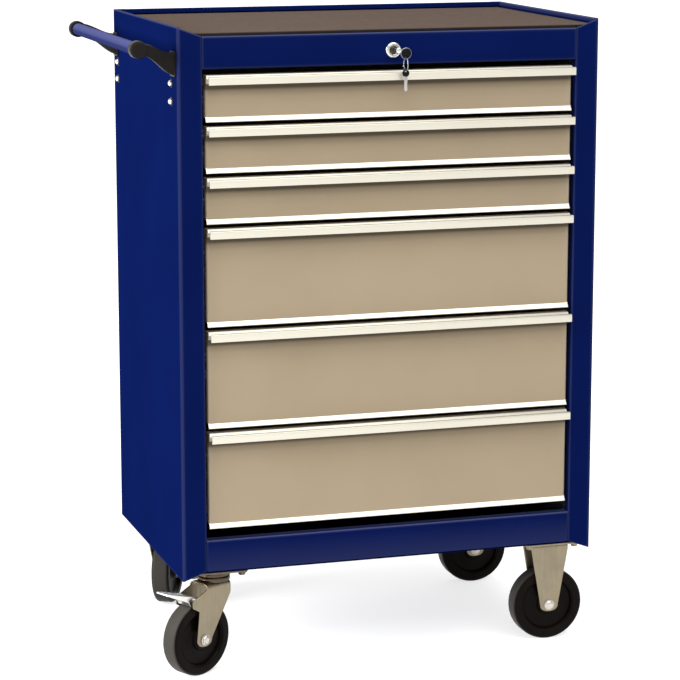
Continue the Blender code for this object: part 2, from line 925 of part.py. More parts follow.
def lock_key():
    """The key in the lock, about the lock's axis at the front face: a shank, and a head folded to the right."""
    shank_start = plug_proud + seat_gap
    rear = key_plane - key_head_sheet / 2
    front = key_plane + key_head_sheet / 2
    shank = block(
        "shank",
        (-key_shank_half_width, -key_plane, -key_shank_half_height),
        (key_shank_half_width, -shank_start, key_shank_half_height),
    )
    boss = rod("boss", key_boss_radius, -front, -rear, Y, (0, 0, 0))
    head = rod("head", key_head_radius, -front, -rear, Y, (key_head_side, 0, -key_head_fall), ring_steps)
    hole = rod(
        "hole",
        ring_hole_radius,
        -front - cut_overrun,
        -rear + cut_overrun,
        Y,
        (key_head_side, 0, -key_ring_hole_drop()),
        small_steps,
    )
    return merged("lock_key", [shank, boss, head], [hole], smooth=True)


def key_ring_hole_drop():
    """How far below the lock's axis the ring's hole in the key's head is."""
    return key_head_fall + key_head_radius - ring_hole_margin - ring_hole_radius


def ring_place():
    """Middle of the key ring, from the lock's axis at the front face: it hangs with its wire in the hole."""
    slack = ring_hole_radius - ring_wire - seat_gap
    return Vector((key_head_side, -key_plane, -key_ring_hole_drop() - slack - ring_radius))


def key_ring():
    """A ring of wire about Z."""
    steps = small_steps // 2
    profile = [
        (
            ring_radius + ring_wire * math.cos(2 * math.pi * i / steps),
            ring_wire * math.sin(2 * math.pi * i / steps),
        )
        for i in range(steps)
    ]
    return turned("key_ring", profile, ring_steps, closed=True)


def spare_key():
    """The second key, about the ring's wire that it hangs on: a bow with a hole, and a blade below."""
    half = spare_sheet / 2
    slack = ring_hole_radius - ring_wire - seat_gap
    bow_z = -slack - (spare_bow_radius - spare_hole_margin - ring_hole_radius)
    bow = rod("bow", spare_bow_radius, -half, half, Y, (0, 0, bow_z), ring_steps)
    blade_half = half - seat_gap
    blade = block(
        "blade",
        (-spare_blade_half_width, -blade_half, bow_z - spare_bow_radius - spare_blade_length),
        (spare_blade_half_width, blade_half, bow_z - spare_bow_radius / 2),
    )
    reach = half + cut_overrun
    hole = rod("hole", ring_hole_radius, -reach, reach, Y, (0, 0, -slack))
    return merged("spare_key", [bow, blade], [hole], smooth=True)


def rocker_pivot():
    """(y, z) of the rocker's pin, halfway between the cam and the lock bar."""
    front, rear = rocker_ends()
    return (front + rear) / 2, cabinet_height - rocker_drop


def rocker_ends():
    """(y of the finger's end, y of the rear end) of the rocker."""
    bar_front = back_inner - bar_back_gap - bar_sheet
    return barrel_length + seat_gap, bar_front - bar_sheet


def lock_rocker():
    """The flat lever under the shelf that turns the cam's push into the lock bar's lift, about its pin."""
    pivot_y, pivot_z = rocker_pivot()
    front, rear = rocker_ends()
    half = rocker_height / 2
    finger_top = lock_height - cam_half_width - finger_clearance
    lug_foot = pivot_z + half + rocker_crank
    outline = [
        (front, finger_top - rocker_height),
        (front, finger_top),
        (front + finger_length, finger_top),
        (front + finger_length + rocker_taper, pivot_z + half),
        (rear - finger_length - rocker_taper, pivot_z + half),
        (rear - finger_length, lug_foot),
        (rear, lug_foot),
        (rear, lug_foot - rocker_height),
        (rear - finger_length, lug_foot - rocker_height),
        (rear - finger_length - rocker_taper, pivot_z - half),
        (front + finger_length + rocker_taper, pivot_z - half),
        (front + finger_length, finger_top - rocker_height),
    ]
    local = [(y - pivot_y, z - pivot_z) for y, z in outline]
    bar = prism("lock_rocker", local, X, -rocker_half_sheet, rocker_half_sheet)
    reach = rocker_half_sheet + cut_overrun
    bore = rod("bore", rocker_pin_radius + axle_clearance, -reach, reach, X, (0, 0, 0))
    return merged("lock_rocker", [bar], [bore])


def lock_bar():
    """The upright bar behind the drawers: a hook for each catch and a lug over the rocker's end."""
    rear = back_inner - bar_back_gap
    front = rear - bar_sheet
    hook_front = tray_back + hook_tray_gap
    _, pivot_z = rocker_pivot()
    lug_foot = pivot_z + rocker_height / 2 + rocker_crank + lug_clearance
    places = list(reversed(drawer_places()))
    first = places[0][1] + places[0][2] - catch_top_drop - catch_drop - slide_height
    outline = [(rear, first), (front, first)]
    for _, foot, height in places:
        up = foot + height - catch_top_drop - catch_drop - hook_clearance
        low = up - catch_drop - hook_sheet
        outline += [
            (front, low),
            (hook_front, low),
            (hook_front, up),
            (hook_front + hook_sheet, up),
            (hook_front + hook_sheet, low + hook_sheet),
            (front, low + hook_sheet),
        ]
    outline += [
        (front, lug_foot),
        (hook_front, lug_foot),
        (hook_front, lug_foot + hook_sheet),
        (rear, lug_foot + hook_sheet),
    ]
    return prism("lock_bar", outline, X, -bar_half_width, bar_half_width)


def build_shell(cabinet):
    """The welded shell, its slide liners and the mat."""
    left = side_panel()
    piece("left_side_panel", left, blue_paint, cabinet)
    piece("right_side_panel", mirrored(left, X), blue_paint, cabinet)
    piece("back_panel", back_panel(), blue_paint, cabinet)
    piece("base_pan", base_pan(), blue_paint, cabinet)
    piece("bottom_rail", front_rail(post_foot_rise, False), blue_paint, cabinet)
    reach = barrel_length + cut_overrun
    hole = rod("hole", barrel_radius + seat_gap, -reach, reach, Y, (0, 0, lock_height), ring_steps)
    upper = merged("top_rail", [front_rail(opening_top, True)], [hole], smooth=True)
    piece("top_rail", upper, blue_paint, cabinet)
    piece("top_plate", top_plate(), blue_paint, cabinet)
    piece("top_mat", top_mat(), mat_rubber, cabinet)
    liner = slide_liner()
    piece("left_slide_liner", liner, slide_zinc, cabinet)
    piece("right_slide_liner", mirrored(liner, X), slide_zinc, cabinet)


def build_drawers(cabinet):
    """Six drawers, each with its tray, pull and two slide members."""
    pull = drawer_pull()
    left = runner()
    right = mirrored(left, X)
    trays = {height: drawer_tray(height) for height in (shallow_height, deep_height)}
    for number, foot, height in drawer_places():
        carrier = frame(f"drawer_{number}_frame", (0, 0, foot), cabinet)
        piece(f"drawer_{number}_tray", trays[height], front_paint, carrier)
        piece(f"drawer_{number}_pull", pull, pull_aluminium, carrier, (0, 0, height))
        middle = slide_height_in(height)
        piece(f"drawer_{number}_left_slide", left, slide_zinc, carrier, (0, 0, middle))
        piece(f"drawer_{number}_right_slide", right, slide_zinc, carrier, (0, 0, middle))


def build_handle(cabinet):
    """The push handle on the left side: a tube between two plastic brackets."""
    front = handle_bracket()
    piece("front_handle_bracket", front, black_plastic, cabinet)
    piece("rear_handle_bracket", mirrored(front, Y, cabinet_depth / 2), black_plastic, cabinet)
    start = cup_length - cup_overrun - cup_depth + seat_gap
    place = (-half_width - handle_reach, 0, cabinet_height - handle_drop)
    tube = rod("tube", handle_radius, start, cabinet_depth - start, Y, place, ring_steps)
    piece("handle_tube", tube, blue_paint, cabinet)


def build_castors(cabinet):
    """Two fixed castors on the right and two braked swivel castors on the left."""
    wheel = lying(castor_wheel(), Y, (0, 0, 0))
    axle = lying(castor_axle(), Y, (0, 0, 0))
    bracket, plate, fork, pedal = rigid_bracket(), swivel_plate(), swivel_fork(), brake_pedal()
    axle_z = wheel_radius - floor_drop
    side = half_width - castor_side_inset
    race_foot = castor_height - wheel_radius - seat_gap - top_plate_sheet - race_height
    pedal_place = (pedal_pivot_trail, 0, race_foot - seat_gap - pedal_pivot_drop)
    ends = (
        ("front", castor_front_inset, front_castor_turn),
        ("rear", cabinet_depth - castor_front_inset, rear_castor_turn),
    )
    for end, place_y, turn in ends:
        fixed = frame(f"{end}_right_castor_frame", (side, place_y, axle_z), cabinet)
        piece(f"{end}_right_castor_bracket", bracket, zinc, fixed)
        piece(f"{end}_right_castor_axle", axle, zinc, fixed)
        piece(f"{end}_right_castor_wheel", wheel, wheel_black, fixed)
        mounted = frame(f"{end}_left_castor_mount", (-side, place_y, axle_z), cabinet)
        piece(f"{end}_left_castor_plate", plate, zinc, mounted)
        swivel = frame(f"{end}_left_castor_swivel", (-side, place_y, axle_z), cabinet, turn)
        piece(f"{end}_left_castor_fork", fork, zinc, swivel)
        piece(f"{end}_left_castor_axle", axle, zinc, swivel, (trail, 0, 0))
        piece(f"{end}_left_castor_wheel", wheel, wheel_black, swivel, (trail, 0, 0))
        piece(f"{end}_left_castor_pedal", pedal, zinc, swivel, pedal_place)


def build_lock(cabinet):
    """The lock in the upper rail, its keys, and the rocker and bar that hold the drawers shut."""
    lock = frame("lock_frame", (0, 0, lock_height), cabinet)
    outward = Matrix.Rotation(math.radians(90), 4, "X")
    piece("lock_barrel", moved(lock_barrel(), outward), chrome, lock)
    piece("lock_plug", lock_plug(), chrome, lock)
    piece("lock_key", lock_key(), black_plastic, lock)
    ring = lying(key_ring(), X, (0, 0, 0))
    piece("key_ring", ring, chrome, lock, ring_place())
    hang = ring_place() - Vector((0, 0, ring_radius))
    piece("spare_key", spare_key(), chrome, lock, hang)
    pivot_y, pivot_z = rocker_pivot()
    piece("lock_rocker", lock_rocker(), zinc, cabinet, (0, pivot_y, pivot_z))
    piece("lock_bar", lock_bar(), zinc, cabinet)


for old in list(bpy.data.objects):
    bpy.data.objects.remove(old)

blue_paint = material("blue_paint", (0.006, 0.022, 0.17), 0.35, 0)
front_paint = material("front_paint", (0.47, 0.39, 0.26), 0.45, 0)
pull_aluminium = material("pull_aluminium", (0.86, 0.85, 0.78), 0.3, 1)
black_plastic = material("black_plastic", (0.02, 0.018, 0.016), 0.45, 0)
mat_rubber = material("mat_rubber", (0.16, 0.13, 0.1), 0.8, 0)
zinc = material("zinc", (0.62, 0.59, 0.53), 0.35, 1)
slide_zinc = material("slide_zinc", (0.6, 0.6, 0.6), 0.4, 1)
wheel_black = material("wheel_black", (0.02, 0.018, 0.017), 0.5, 0)
chrome = material("chrome", (0.8, 0.8, 0.8), 0.12, 1)

cart = frame("cabinet", (side_reach / 2, (front_reach - rear_reach - cabinet_depth) / 2, floor_drop))
build_shell(cart)
build_drawers(cart)
build_handle(cart)
build_castors(cart)
build_lock(cart)
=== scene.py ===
"""Six-drawer tool cart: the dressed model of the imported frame, in metres, with Z up and the drawers facing -Y."""

import math

import bmesh
import bpy
import numpy as np
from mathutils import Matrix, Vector


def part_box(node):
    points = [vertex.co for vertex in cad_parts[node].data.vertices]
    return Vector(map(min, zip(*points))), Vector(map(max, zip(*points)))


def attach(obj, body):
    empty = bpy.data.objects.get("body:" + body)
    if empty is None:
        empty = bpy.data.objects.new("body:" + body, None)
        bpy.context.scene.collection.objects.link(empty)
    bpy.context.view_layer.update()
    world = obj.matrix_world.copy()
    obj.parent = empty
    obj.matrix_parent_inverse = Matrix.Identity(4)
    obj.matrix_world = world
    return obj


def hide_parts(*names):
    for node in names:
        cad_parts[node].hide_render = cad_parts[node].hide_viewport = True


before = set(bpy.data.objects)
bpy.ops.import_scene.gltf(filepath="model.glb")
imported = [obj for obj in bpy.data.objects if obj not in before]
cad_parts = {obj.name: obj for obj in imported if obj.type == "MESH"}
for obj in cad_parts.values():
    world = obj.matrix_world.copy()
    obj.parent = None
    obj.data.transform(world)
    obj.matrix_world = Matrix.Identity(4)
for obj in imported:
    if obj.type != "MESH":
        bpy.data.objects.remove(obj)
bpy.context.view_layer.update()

# Side panels. Each wall is one sheet of 1.2 mm steel, folded round the front corner into a post and turned in
# again behind it, and at the back into a flange. The upper edge is hemmed into a rim that falls away over the
# post. Dark blue powder coat all over.
shell_width, shell_depth, shell_height = 0.674, 0.432, 0.850
shell_sheet = 0.0012
post_width, post_return, post_fall = 0.038, 0.018, 0.014
rear_flange = 0.018
corner_bend, tight_bend = 0.0045, 0.002
rim_width, rim_depth = 0.006, 0.007
half_shell = shell_width / 2
opening_half = half_shell - post_width
left_low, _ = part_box("left_side_panel")
_, right_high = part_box("right_side_panel")
shell_home = np.array([(left_low.x + right_high.x) / 2, left_low.y, left_low.z])
X, Y, Z = 0, 1, 2


def bent_line(corners, radii, steps=8, guard=0.0025):
    """Straight runs joined by arcs. Each inner corner becomes an arc tangent to both runs, at equal angle steps,
    with a guard point before and after it, at most a third of the way along the run."""
    corners = np.asarray(corners, float)
    radii = np.broadcast_to(np.asarray(radii, float), (len(corners) - 2,))
    back = corners[:-2] - corners[1:-1]
    ahead = corners[2:] - corners[1:-1]
    back /= np.linalg.norm(back, axis=1, keepdims=True)
    ahead /= np.linalg.norm(ahead, axis=1, keepdims=True)
    half = np.arccos(np.clip((back * ahead).sum(1), -1, 1)) / 2
    bisector = back + ahead
    bisector /= np.linalg.norm(bisector, axis=1, keepdims=True)
    centre = corners[1:-1] + bisector * (radii / np.sin(half))[:, None]
    start = corners[1:-1] + back * (radii / np.tan(half))[:, None] - centre
    side = np.sign(back[:, 1] * ahead[:, 0] - back[:, 0] * ahead[:, 1])
    angle = (side * (math.pi - 2 * half))[:, None] * np.linspace(0, 1, steps + 1)
    cos, sin = np.cos(angle), np.sin(angle)
    arc_x = start[:, :1] * cos - start[:, 1:] * sin
    arc_y = start[:, :1] * sin + start[:, 1:] * cos
    arcs = centre[:, None, :] + np.stack([arc_x, arc_y], -1)
    first, last = arcs[:, 0], arcs[:, -1]
    behind = np.vstack([corners[:1], last[:-1]]) - first
    beyond = np.vstack([first[1:], corners[-1:]]) - last
    behind *= np.minimum(1 / 3, guard / np.linalg.norm(behind, axis=1, keepdims=True))
    beyond *= np.minimum(1 / 3, guard / np.linalg.norm(beyond, axis=1, keepdims=True))
    guarded = np.concatenate([(first + behind)[:, None], arcs, (last + beyond)[:, None]], 1)
    return np.vstack([corners[:1], guarded.reshape(-1, 2), corners[-1:]])


def beside(path, distance):
    """The path moved to its left by a distance, mitred: the normal at a point bisects those of its two runs."""
    run = np.diff(path, axis=0)
    run /= np.linalg.norm(run, axis=1, keepdims=True)
    before, after = np.vstack([run[:1], run]), np.vstack([run, run[-1:]])
    normal = np.stack([-before[:, 1] - after[:, 1], before[:, 0] + after[:, 0]], -1)
    normal /= np.linalg.norm(normal, axis=1, keepdims=True)
    share = normal[:, 1] * before[:, 0] - normal[:, 0] * before[:, 1]
    return path + normal * (distance / share)[:, None]


def stand(flat, along, axis):
    """Points in space from flat coordinates across an axis, in X, Y, Z order, and one coordinate along it."""
    a, b = flat[..., 0], flat[..., 1]
    return np.stack({X: (along, a, b), Y: (a, along, b), Z: (a, b, along)}[axis], -1)


def skin(rings, capped=True):
    """Rings of points joined in order by quads; the last ring joins the first unless the ends are capped."""
    count, size = rings.shape[:2]
    index = np.arange(count * size).reshape(count, size)
    this = index[:-1] if capped else index
    following = index[1:] if capped else np.roll(index, -1, 0)
    quads = np.stack([this, np.roll(this, -1, 1), np.roll(following, -1, 1), following], -1)
    faces = quads.reshape(-1, 4).tolist()
    if capped:
        faces += [index[0].tolist(), index[-1].tolist()]
    return rings.reshape(-1, 3), faces


def sheet(path, low, high, thickness, axis):
    """Sheet metal: at each point of the path a loop climbs the outer face, rounds the edge over half the
    thickness, goes down the inner face and rounds the other edge. Both faces have a guard row near each edge."""
    path = np.asarray(path, float)
    inner = beside(path, thickness)
    middle, out = (path + inner) / 2, (path - inner) / 2
    turn = np.linspace(0, math.pi, 5)
    radius = abs(thickness) / 2
    across = np.concatenate([[1], np.cos(turn), [-1, -1], -np.cos(turn), [1]])
    rise = np.concatenate([[-1], np.sin(turn) - 1, [-1, 1], 1 - np.sin(turn), [1]]) * radius
    low = np.broadcast_to(low, (len(path),))[:, None]
    high = np.broadcast_to(high, (len(path),))[:, None]
    row = np.arange(14)
    guard = np.isin(row, (7, 13)) * 1.0 - np.isin(row, (0, 6))
    along = np.where(row < 7, high, low) + rise + guard * np.minimum(0.002, 0.3 * (high - low - 2 * radius))
    return skin(stand(middle[:, None] + out[:, None] * across[:, None], along, axis))


def bar(outline, low, high, axis, edge=0.0):
    """A closed outline carried along an axis; each end draws in over a quarter circle of the edge's radius."""
    outline = np.asarray(outline, float)
    following = np.roll(outline, -1, 0)
    area = (outline[:, 0] * following[:, 1] - following[:, 0] * outline[:, 1]).sum()
    outline = outline if area > 0 else outline[::-1]
    if edge == 0:
        levels, insets = np.array([low, high]), np.zeros(2)
    else:
        quarter = np.linspace(0, math.pi / 2, 4)
        levels = np.concatenate([low + edge * (1 - np.cos(quarter)), high - edge * (1 - np.sin(quarter))])
        insets = np.concatenate([edge * (1 - np.sin(quarter)), edge * (1 - np.cos(quarter))])
    wrapped = np.vstack([outline[-1:], outline, outline[:1]])
    unit = beside(wrapped, 1.0)[1:-1] - outline
    rings = outline + unit * insets[:, None, None]
    return skin(stand(rings, np.broadcast_to(levels[:, None], rings.shape[:2]), axis))


def put(shell, place, turn=0.0):
    """A shell turned about Z and moved to a place."""
    points, faces = shell
    cos, sin = math.cos(turn), math.sin(turn)
    return points @ np.array([[cos, sin, 0], [-sin, cos, 0], [0, 0, 1]]) + np.asarray(place, float), faces


def flipped(shell, axis, about=0.0):
    """A shell mirrored across an axis."""
    points = shell[0].copy()
    points[:, axis] = 2 * about - points[:, axis]
    return points, shell[1]


def on_both_sides(shells):
    """The left side's shells, and their mirror images for the right side."""
    return ("left", shells), ("right", [flipped(shell, X) for shell in shells])


def point_places(mesh):
    """The places of a mesh's points, measured from the shell's home."""
    points = np.zeros(len(mesh.vertices) * 3)
    mesh.vertices.foreach_get("co", points)
    return points.reshape(-1, 3) - shell_home


def write_mark(mesh, name, values):
    """Keeps one value for each point under a name, for the materials to read."""
    mesh.attributes.new(name, "FLOAT", "POINT").data.foreach_set("value", values.astype(np.float32))


def light_marks(mesh):
    """Two values at each point: how far it faces up, and how much painted highlight it takes. It is bent where the
    mean of the normals of its faces is shorter than one; the highlight is painted on the bends, most where they
    face up."""
    counts = np.zeros(len(mesh.polygons), int)
    mesh.polygons.foreach_get("loop_total", counts)
    corners = np.zeros(len(mesh.loops), int)
    mesh.loops.foreach_get("vertex_index", corners)
    normals = np.zeros(len(mesh.polygons) * 3)
    mesh.polygons.foreach_get("normal", normals)
    mean = np.zeros((len(mesh.vertices), 3))
    np.add.at(mean, corners, np.repeat(normals.reshape(-1, 3), counts, axis=0))
    mean /= np.maximum(np.bincount(corners, minlength=len(mean)), 1)[:, None]
    length = np.linalg.norm(mean, axis=1)
    upward = np.clip(mean[:, Z] / np.maximum(length, 1e-6), 0, 1)
    bent = np.clip((1 - length) / 0.003, 0, 1)
    write_mark(mesh, "upward", upward)
    write_mark(mesh, "painted_bend_highlight", bent * (0.25 + 0.75 * upward**0.5))


def added(name, data):
    """A new object of the scene that shows these data."""
    thing = bpy.data.objects.new(name, data)
    bpy.context.scene.collection.objects.link(thing)
    return thing


def fit_piece(name, shells, finish, body, stands_for=(), sharp=38):
    """One named piece of closed shells: doubles merged, faces turned outward, smooth up to the sharp angle."""
    points, faces, start = [], [], 0
    for shell_points, shell_faces in shells:
        points.append(shell_points + shell_home)
        faces += [[corner + start for corner in face] for face in shell_faces]
        start += len(shell_points)
    mesh = bpy.data.meshes.new(name)
    mesh.from_pydata(np.vstack(points), [], faces)
    made = bmesh.new()
    made.from_mesh(mesh)
    bmesh.ops.remove_doubles(made, verts=made.verts, dist=2e-6)
    bmesh.ops.dissolve_degenerate(made, edges=made.edges, dist=1e-6)
    bmesh.ops.recalc_face_normals(made, faces=made.faces)
    made.to_mesh(mesh)
    made.free()
    mesh.shade_smooth()
    mesh.set_sharp_from_angle(angle=math.radians(sharp))
    light_marks(mesh)
    mesh.materials.append(finish)
    piece = added(name, mesh)
    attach(piece, body)
    if stands_for:
        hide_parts(*stands_for)
    return piece


def speckle(tree, place, scale, detail=2.0, stretch=(1, 1, 1)):
    """Noise over the object's own coordinates, drawn out along an axis where the stretch there is small."""
    mapping = tree.nodes.new("ShaderNodeMapping")
    mapping.inputs["Scale"].default_value = stretch
    tree.links.new(place, mapping.inputs["Vector"])
    noise = tree.nodes.new("ShaderNodeTexNoise")
    noise.inputs["Scale"].default_value = scale
    noise.inputs["Detail"].default_value = detail
    tree.links.new(mapping.outputs["Vector"], noise.inputs["Vector"])
    return noise.outputs["Fac"]


def graded(tree, factor, stops):
    """A colour for each level of a pattern, blended between the stops."""
    ramp = tree.nodes.new("ShaderNodeValToRGB")
    while len(ramp.color_ramp.elements) < len(stops):
        ramp.color_ramp.elements.new(0.5)
    for element, (level, color) in zip(ramp.color_ramp.elements, stops):
        element.position = level
        element.color = (*color, 1)
    tree.links.new(factor, ramp.inputs["Fac"])
    return ramp.outputs["Color"]


def mapped(tree, value, source, target):
    """A value carried from one range to another and held at its ends."""
    span = tree.nodes.new("ShaderNodeMapRange")
    for name, bound in zip(("From Min", "From Max", "To Min", "To Max"), (*source, *target)):
        span.inputs[name].default_value = bound
    tree.links.new(value, span.inputs["Value"])
    return span.outputs["Result"]


def roughened(tree, shader, factor, low, high):
    """The roughness follows a pattern, whose middle levels are widened to run from low to high."""
    tree.links.new(mapped(tree, factor, (0.3, 0.7), (low, high)), shader.inputs["Roughness"])


def mark_value(tree, name):
    """A mark of the points, as a value."""
    attribute = tree.nodes.new("ShaderNodeAttribute")
    attribute.attribute_name = name
    return attribute.outputs["Fac"]


def raised(tree, shader, factor, height, strength=1.0):
    """A pattern pressed into the surface as bumps of that height."""
    bump = tree.nodes.new("ShaderNodeBump")
    bump.inputs["Distance"].default_value = height
    bump.inputs["Strength"].default_value = strength
    tree.links.new(factor, bump.inputs["Height"])
    tree.links.new(bump.outputs["Normal"], shader.inputs["Normal"])


def marked(tree, shader, color, mark, mark_color, most):
    """The base colour turned towards the mark colour by a mark at each point, up to the most given, as painted
    light and shade.
    """
    blend = tree.nodes.new("ShaderNodeMix")
    blend.data_type = "RGBA"
    tree.links.new(mapped(tree, mark_value(tree, mark), (0, 1), (0, most)), blend.inputs["Factor"])
    tree.links.new(color, blend.inputs["A"])
    blend.inputs["B"].default_value = (*mark_color, 1)
    tree.links.new(blend.outputs["Result"], shader.inputs["Base Color"])


def patterned(name, color, base, shares, cloud, gloss, swing, grain, bump, painted_light=None):
    """A finish with a base of roughness, metal and specular, and three patterns of scale, detail and stretch.
    The colour follows the cloud through shares of itself, the roughness swings with the gloss, and the grain is
    pressed in. With painted light, a mark turns the colour towards the mark colour."""
    finish = bpy.data.materials.new(name)
    finish.use_nodes = True
    tree = finish.node_tree
    shader = tree.nodes["Principled BSDF"]
    for socket, value in zip(("Roughness", "Metallic", "Specular IOR Level"), base):
        shader.inputs[socket].default_value = value
    place = tree.nodes.new("ShaderNodeTexCoord").outputs["Object"]
    stops = [(level, np.array(color) * share) for level, share in shares]
    tint = graded(tree, speckle(tree, place, *cloud), stops)
    if painted_light:
        marked(tree, shader, tint, *painted_light)
    else:
        tree.links.new(tint, shader.inputs["Base Color"])
    roughened(tree, shader, speckle(tree, place, *gloss), base[0] + swing[0], base[0] + swing[1])
    raised(tree, shader, speckle(tree, place, *grain), *bump)
    return finish


def powder_coat(name, color, mark_color, roughness, specular, tint):
    """Baked powder: a fine orange peel, cloudy depth in the colour, dull patches where it has been wiped, and a
    painted highlight: a paler line along the bends, strongest where they face up."""
    return patterned(
        name, color, (roughness, 0.0, specular), shares=((0.3, 1 - tint), (0.5, 1), (0.72, 1 + tint)),
        cloud=(7.0, 4.0), gloss=(26.0, 6.0, (1, 1, 0.25)), swing=(-0.05, 0.07),
        grain=(620.0, 2.0), bump=(0.00008, 0.35), painted_light=("painted_bend_highlight", mark_color, 0.8),
    )


# Its paler blue on the bends is a painted highlight.
blue_coat = powder_coat("dark_blue_powder_coat", (0.0030, 0.0095, 0.080), (0.085, 0.095, 0.180), 0.34, 0.0, 0.07)

side_path = bent_line(
    [(rear_flange - half_shell, shell_depth), (-half_shell, shell_depth), (-half_shell, 0),
     (-opening_half, 0), (-opening_half, post_return)],
    [tight_bend, corner_bend, tight_bend],
    10,
)
front_part = side_path[:, 1] < shell_depth / 2
fall = post_fall * np.where(front_part, np.clip((side_path[:, 0] + half_shell) / post_width, 0, 1), 0)
left_wall = sheet(side_path, fall, shell_height - fall, shell_sheet, Z)
hem_foot, hem_gap, hem_bend = shell_height - rim_depth, 0.0008, 0.0018
hem_path = bent_line(
    [(shell_sheet - half_shell, hem_foot), (rim_width - half_shell, hem_foot),
     (rim_width - half_shell, shell_height), (hem_gap - half_shell, shell_height)],
    hem_bend,
)
left_rim = bar(hem_path, corner_bend + 0.003, shell_depth - 0.011, Y, 0.0006)
for side, shells in on_both_sides([left_wall, left_rim]):
    fit_piece(f"{side}_side", shells, blue_coat, "cabinet", [f"{side}_side_panel"])

# Back panel, base pan and shelf. The back is a flat sheet with its top edge hemmed, riveted between the side
# panels' flanges; the pan is turned up at both sides and carries the castors; the shelf lies on the rails and
# carries the mat. All are powder coated with the shell.


def lathe(profile, steps=32):
    """A profile of (radius, height) points turned round Z in equal steps."""
    profile = np.asarray(profile, float)
    angle = np.linspace(0, 2 * math.pi, steps, endpoint=False)[:, None]
    radius, height = profile[:, 0], np.broadcast_to(profile[:, 1], (steps, len(profile)))
    return skin(np.stack([radius * np.cos(angle), radius * np.sin(angle), height], -1), capped=False)


def dome(radius, height, foot=0.0, rounds=6, steps=20):
    """A low dome about Z on a short foot: radius by the cosine and height by the sine, from rim to crown."""
    lift = np.linspace(0, math.pi / 2, rounds)
    cap = np.stack([radius * np.cos(lift), foot + height * np.sin(lift)], -1)
    return lathe(np.vstack([[(0, 0), (radius, 0)], cap]), steps)


def faced(shell, direction):
    """A shell about Z turned so that its +Z points along a named direction."""
    points, faces = shell
    x, y, z = points.T
    turned = {
        "+Z": (x, y, z),
        "-Z": (x, -y, -z),
        "+X": (z, x, y),
        "-X": (-z, -x, y),
        "+Y": (y, z, x),
        "-Y": (x, -z, y),
    }[direction]
    return np.stack(turned, -1), faces


def repaint(nodes, finish):
    """Gives CAD nodes that stay as they are their finish."""
    for node in nodes:
        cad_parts[node].data.materials.clear()
        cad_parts[node].data.materials.append(finish)


repaint(["back_panel", "base_pan", "top_plate"], blue_coat)
sheet_gap = 0.0003
back_outer = shell_depth - shell_sheet - sheet_gap
rivet = faced(dome(0.0028, 0.0010), "+Y")
rivet_side, rivet_heights = half_shell - 0.0095, np.linspace(0.055, 0.795, 9)
rivets = [put(rivet, (side * rivet_side, shell_depth, height)) for side in (-1, 1) for height in rivet_heights]
fit_piece("back_rivets", rivets, blue_coat, "cabinet")

# Front rails. The upper rail carries the lock and is folded back at its top and foot, the lower one only at its
# top; both are welded between the posts and powder coated with them.
opening_top, opening_foot = 0.787, 0.063
shelf_top = shell_height - post_fall
rail_foot, rail_return = 0.014, 0.018
rail_half = opening_half - sheet_gap
upper_rail = bent_line(
    [(rail_return, opening_top), (0, opening_top), (0, shelf_top), (rail_return, shelf_top)], tight_bend
)
lower_rail = bent_line([(0, rail_foot), (0, opening_foot), (rail_return, opening_foot)], tight_bend)
for name, path in (("top_rail", upper_rail), ("bottom_rail", lower_rail)):
    shells = [sheet(path, -rail_half, rail_half, -shell_sheet, X)]
    fit_piece(f"{name}_face", shells, blue_coat, "cabinet", [name])

# Top mat. A loose sheet of grey-brown rubber, 5 mm thick, moulded with fine ribs that run across the cart.
mat_thickness, mat_edge = 0.005, 0.0012
mat_front, mat_back = 0.006, back_outer - rim_width - 0.003
mat_half = half_shell - rim_width - 0.003
mat_foot = shelf_top + sheet_gap
mat_top = mat_foot + mat_thickness
rib_count, rib_height = 96, 0.0006


def rubber(name, color, mark_tone, roughness, specular, mark):
    """Moulded rubber: dark, turned to a paler colour where it is marked, with soft clouds and a fine grain."""
    return patterned(
        name, color, (roughness, 0.0, specular), shares=((0.32, 1), (0.68, 1.5)),
        cloud=(18.0, 6.0), gloss=(90.0, 4.0), swing=(-0.08, 0.1),
        grain=(1500.0, 3.0), bump=(0.00012, 0.5), painted_light=(mark, mark_tone, 0.9),
    )


# The mat's top takes the paler grey-brown; its near-black sides and front edge are painted shade.
mat_rubber = rubber("ribbed_mat_rubber", (0.014, 0.011, 0.010), (0.115, 0.080, 0.062), 0.72, 0.12, "upward")
rib_line = np.linspace(mat_back - mat_edge, mat_front + mat_edge, rib_count * 6 + 1)
rib_wave = np.clip(1.2 * np.cos((rib_line - mat_front) / (mat_back - mat_front) * 2 * math.pi * rib_count), -1, 1)
rib_top = mat_top - rib_height * (1 - rib_wave) / 2
mat_section = np.vstack(
    [
        [(mat_front, mat_foot), (mat_back, mat_foot), (mat_back, mat_top - mat_edge)],
        np.stack([rib_line, rib_top], -1),
        [(mat_front, mat_top - mat_edge), (mat_front, mat_top - 2 * mat_edge)],
    ]
)
mat = bar(mat_section, -mat_half, mat_half, X, 0.0008)
fit_piece("ribbed_mat", [mat], mat_rubber, "cabinet", ["top_mat"], 30)

# Slide liners and runners. The fixed channels are pressed in one zinc-plated liner at each side; each drawer
# hangs on a pair of plated steel channels that run in them.
runner_half, runner_reach, runner_sheet = 0.0102, 0.0105, 0.0012
drawer_half = opening_half - 0.0135
runner_start, runner_end, runner_bend = 0.0173, 0.3953, 0.0022
runner_web = -drawer_half - sheet_gap


def plated(name, color, roughness, streak, yellow=0.0):
    """Zinc plate: bright metal with drawn streaks, a cloudy passivated tint and a fine crystal sparkle."""
    return patterned(
        name, color, (roughness, 1.0, 0.5),
        shares=((0.3, 0.88), (0.55, 1), (0.75, np.array([1.0, 1.0 - yellow * 0.35, 1.0 - yellow]))),
        cloud=(32.0, 5.0), gloss=(260.0, 3.0, streak), swing=(-0.07, 0.1),
        grain=(900.0, 2.0, streak), bump=(0.00004, 0.4),
    )


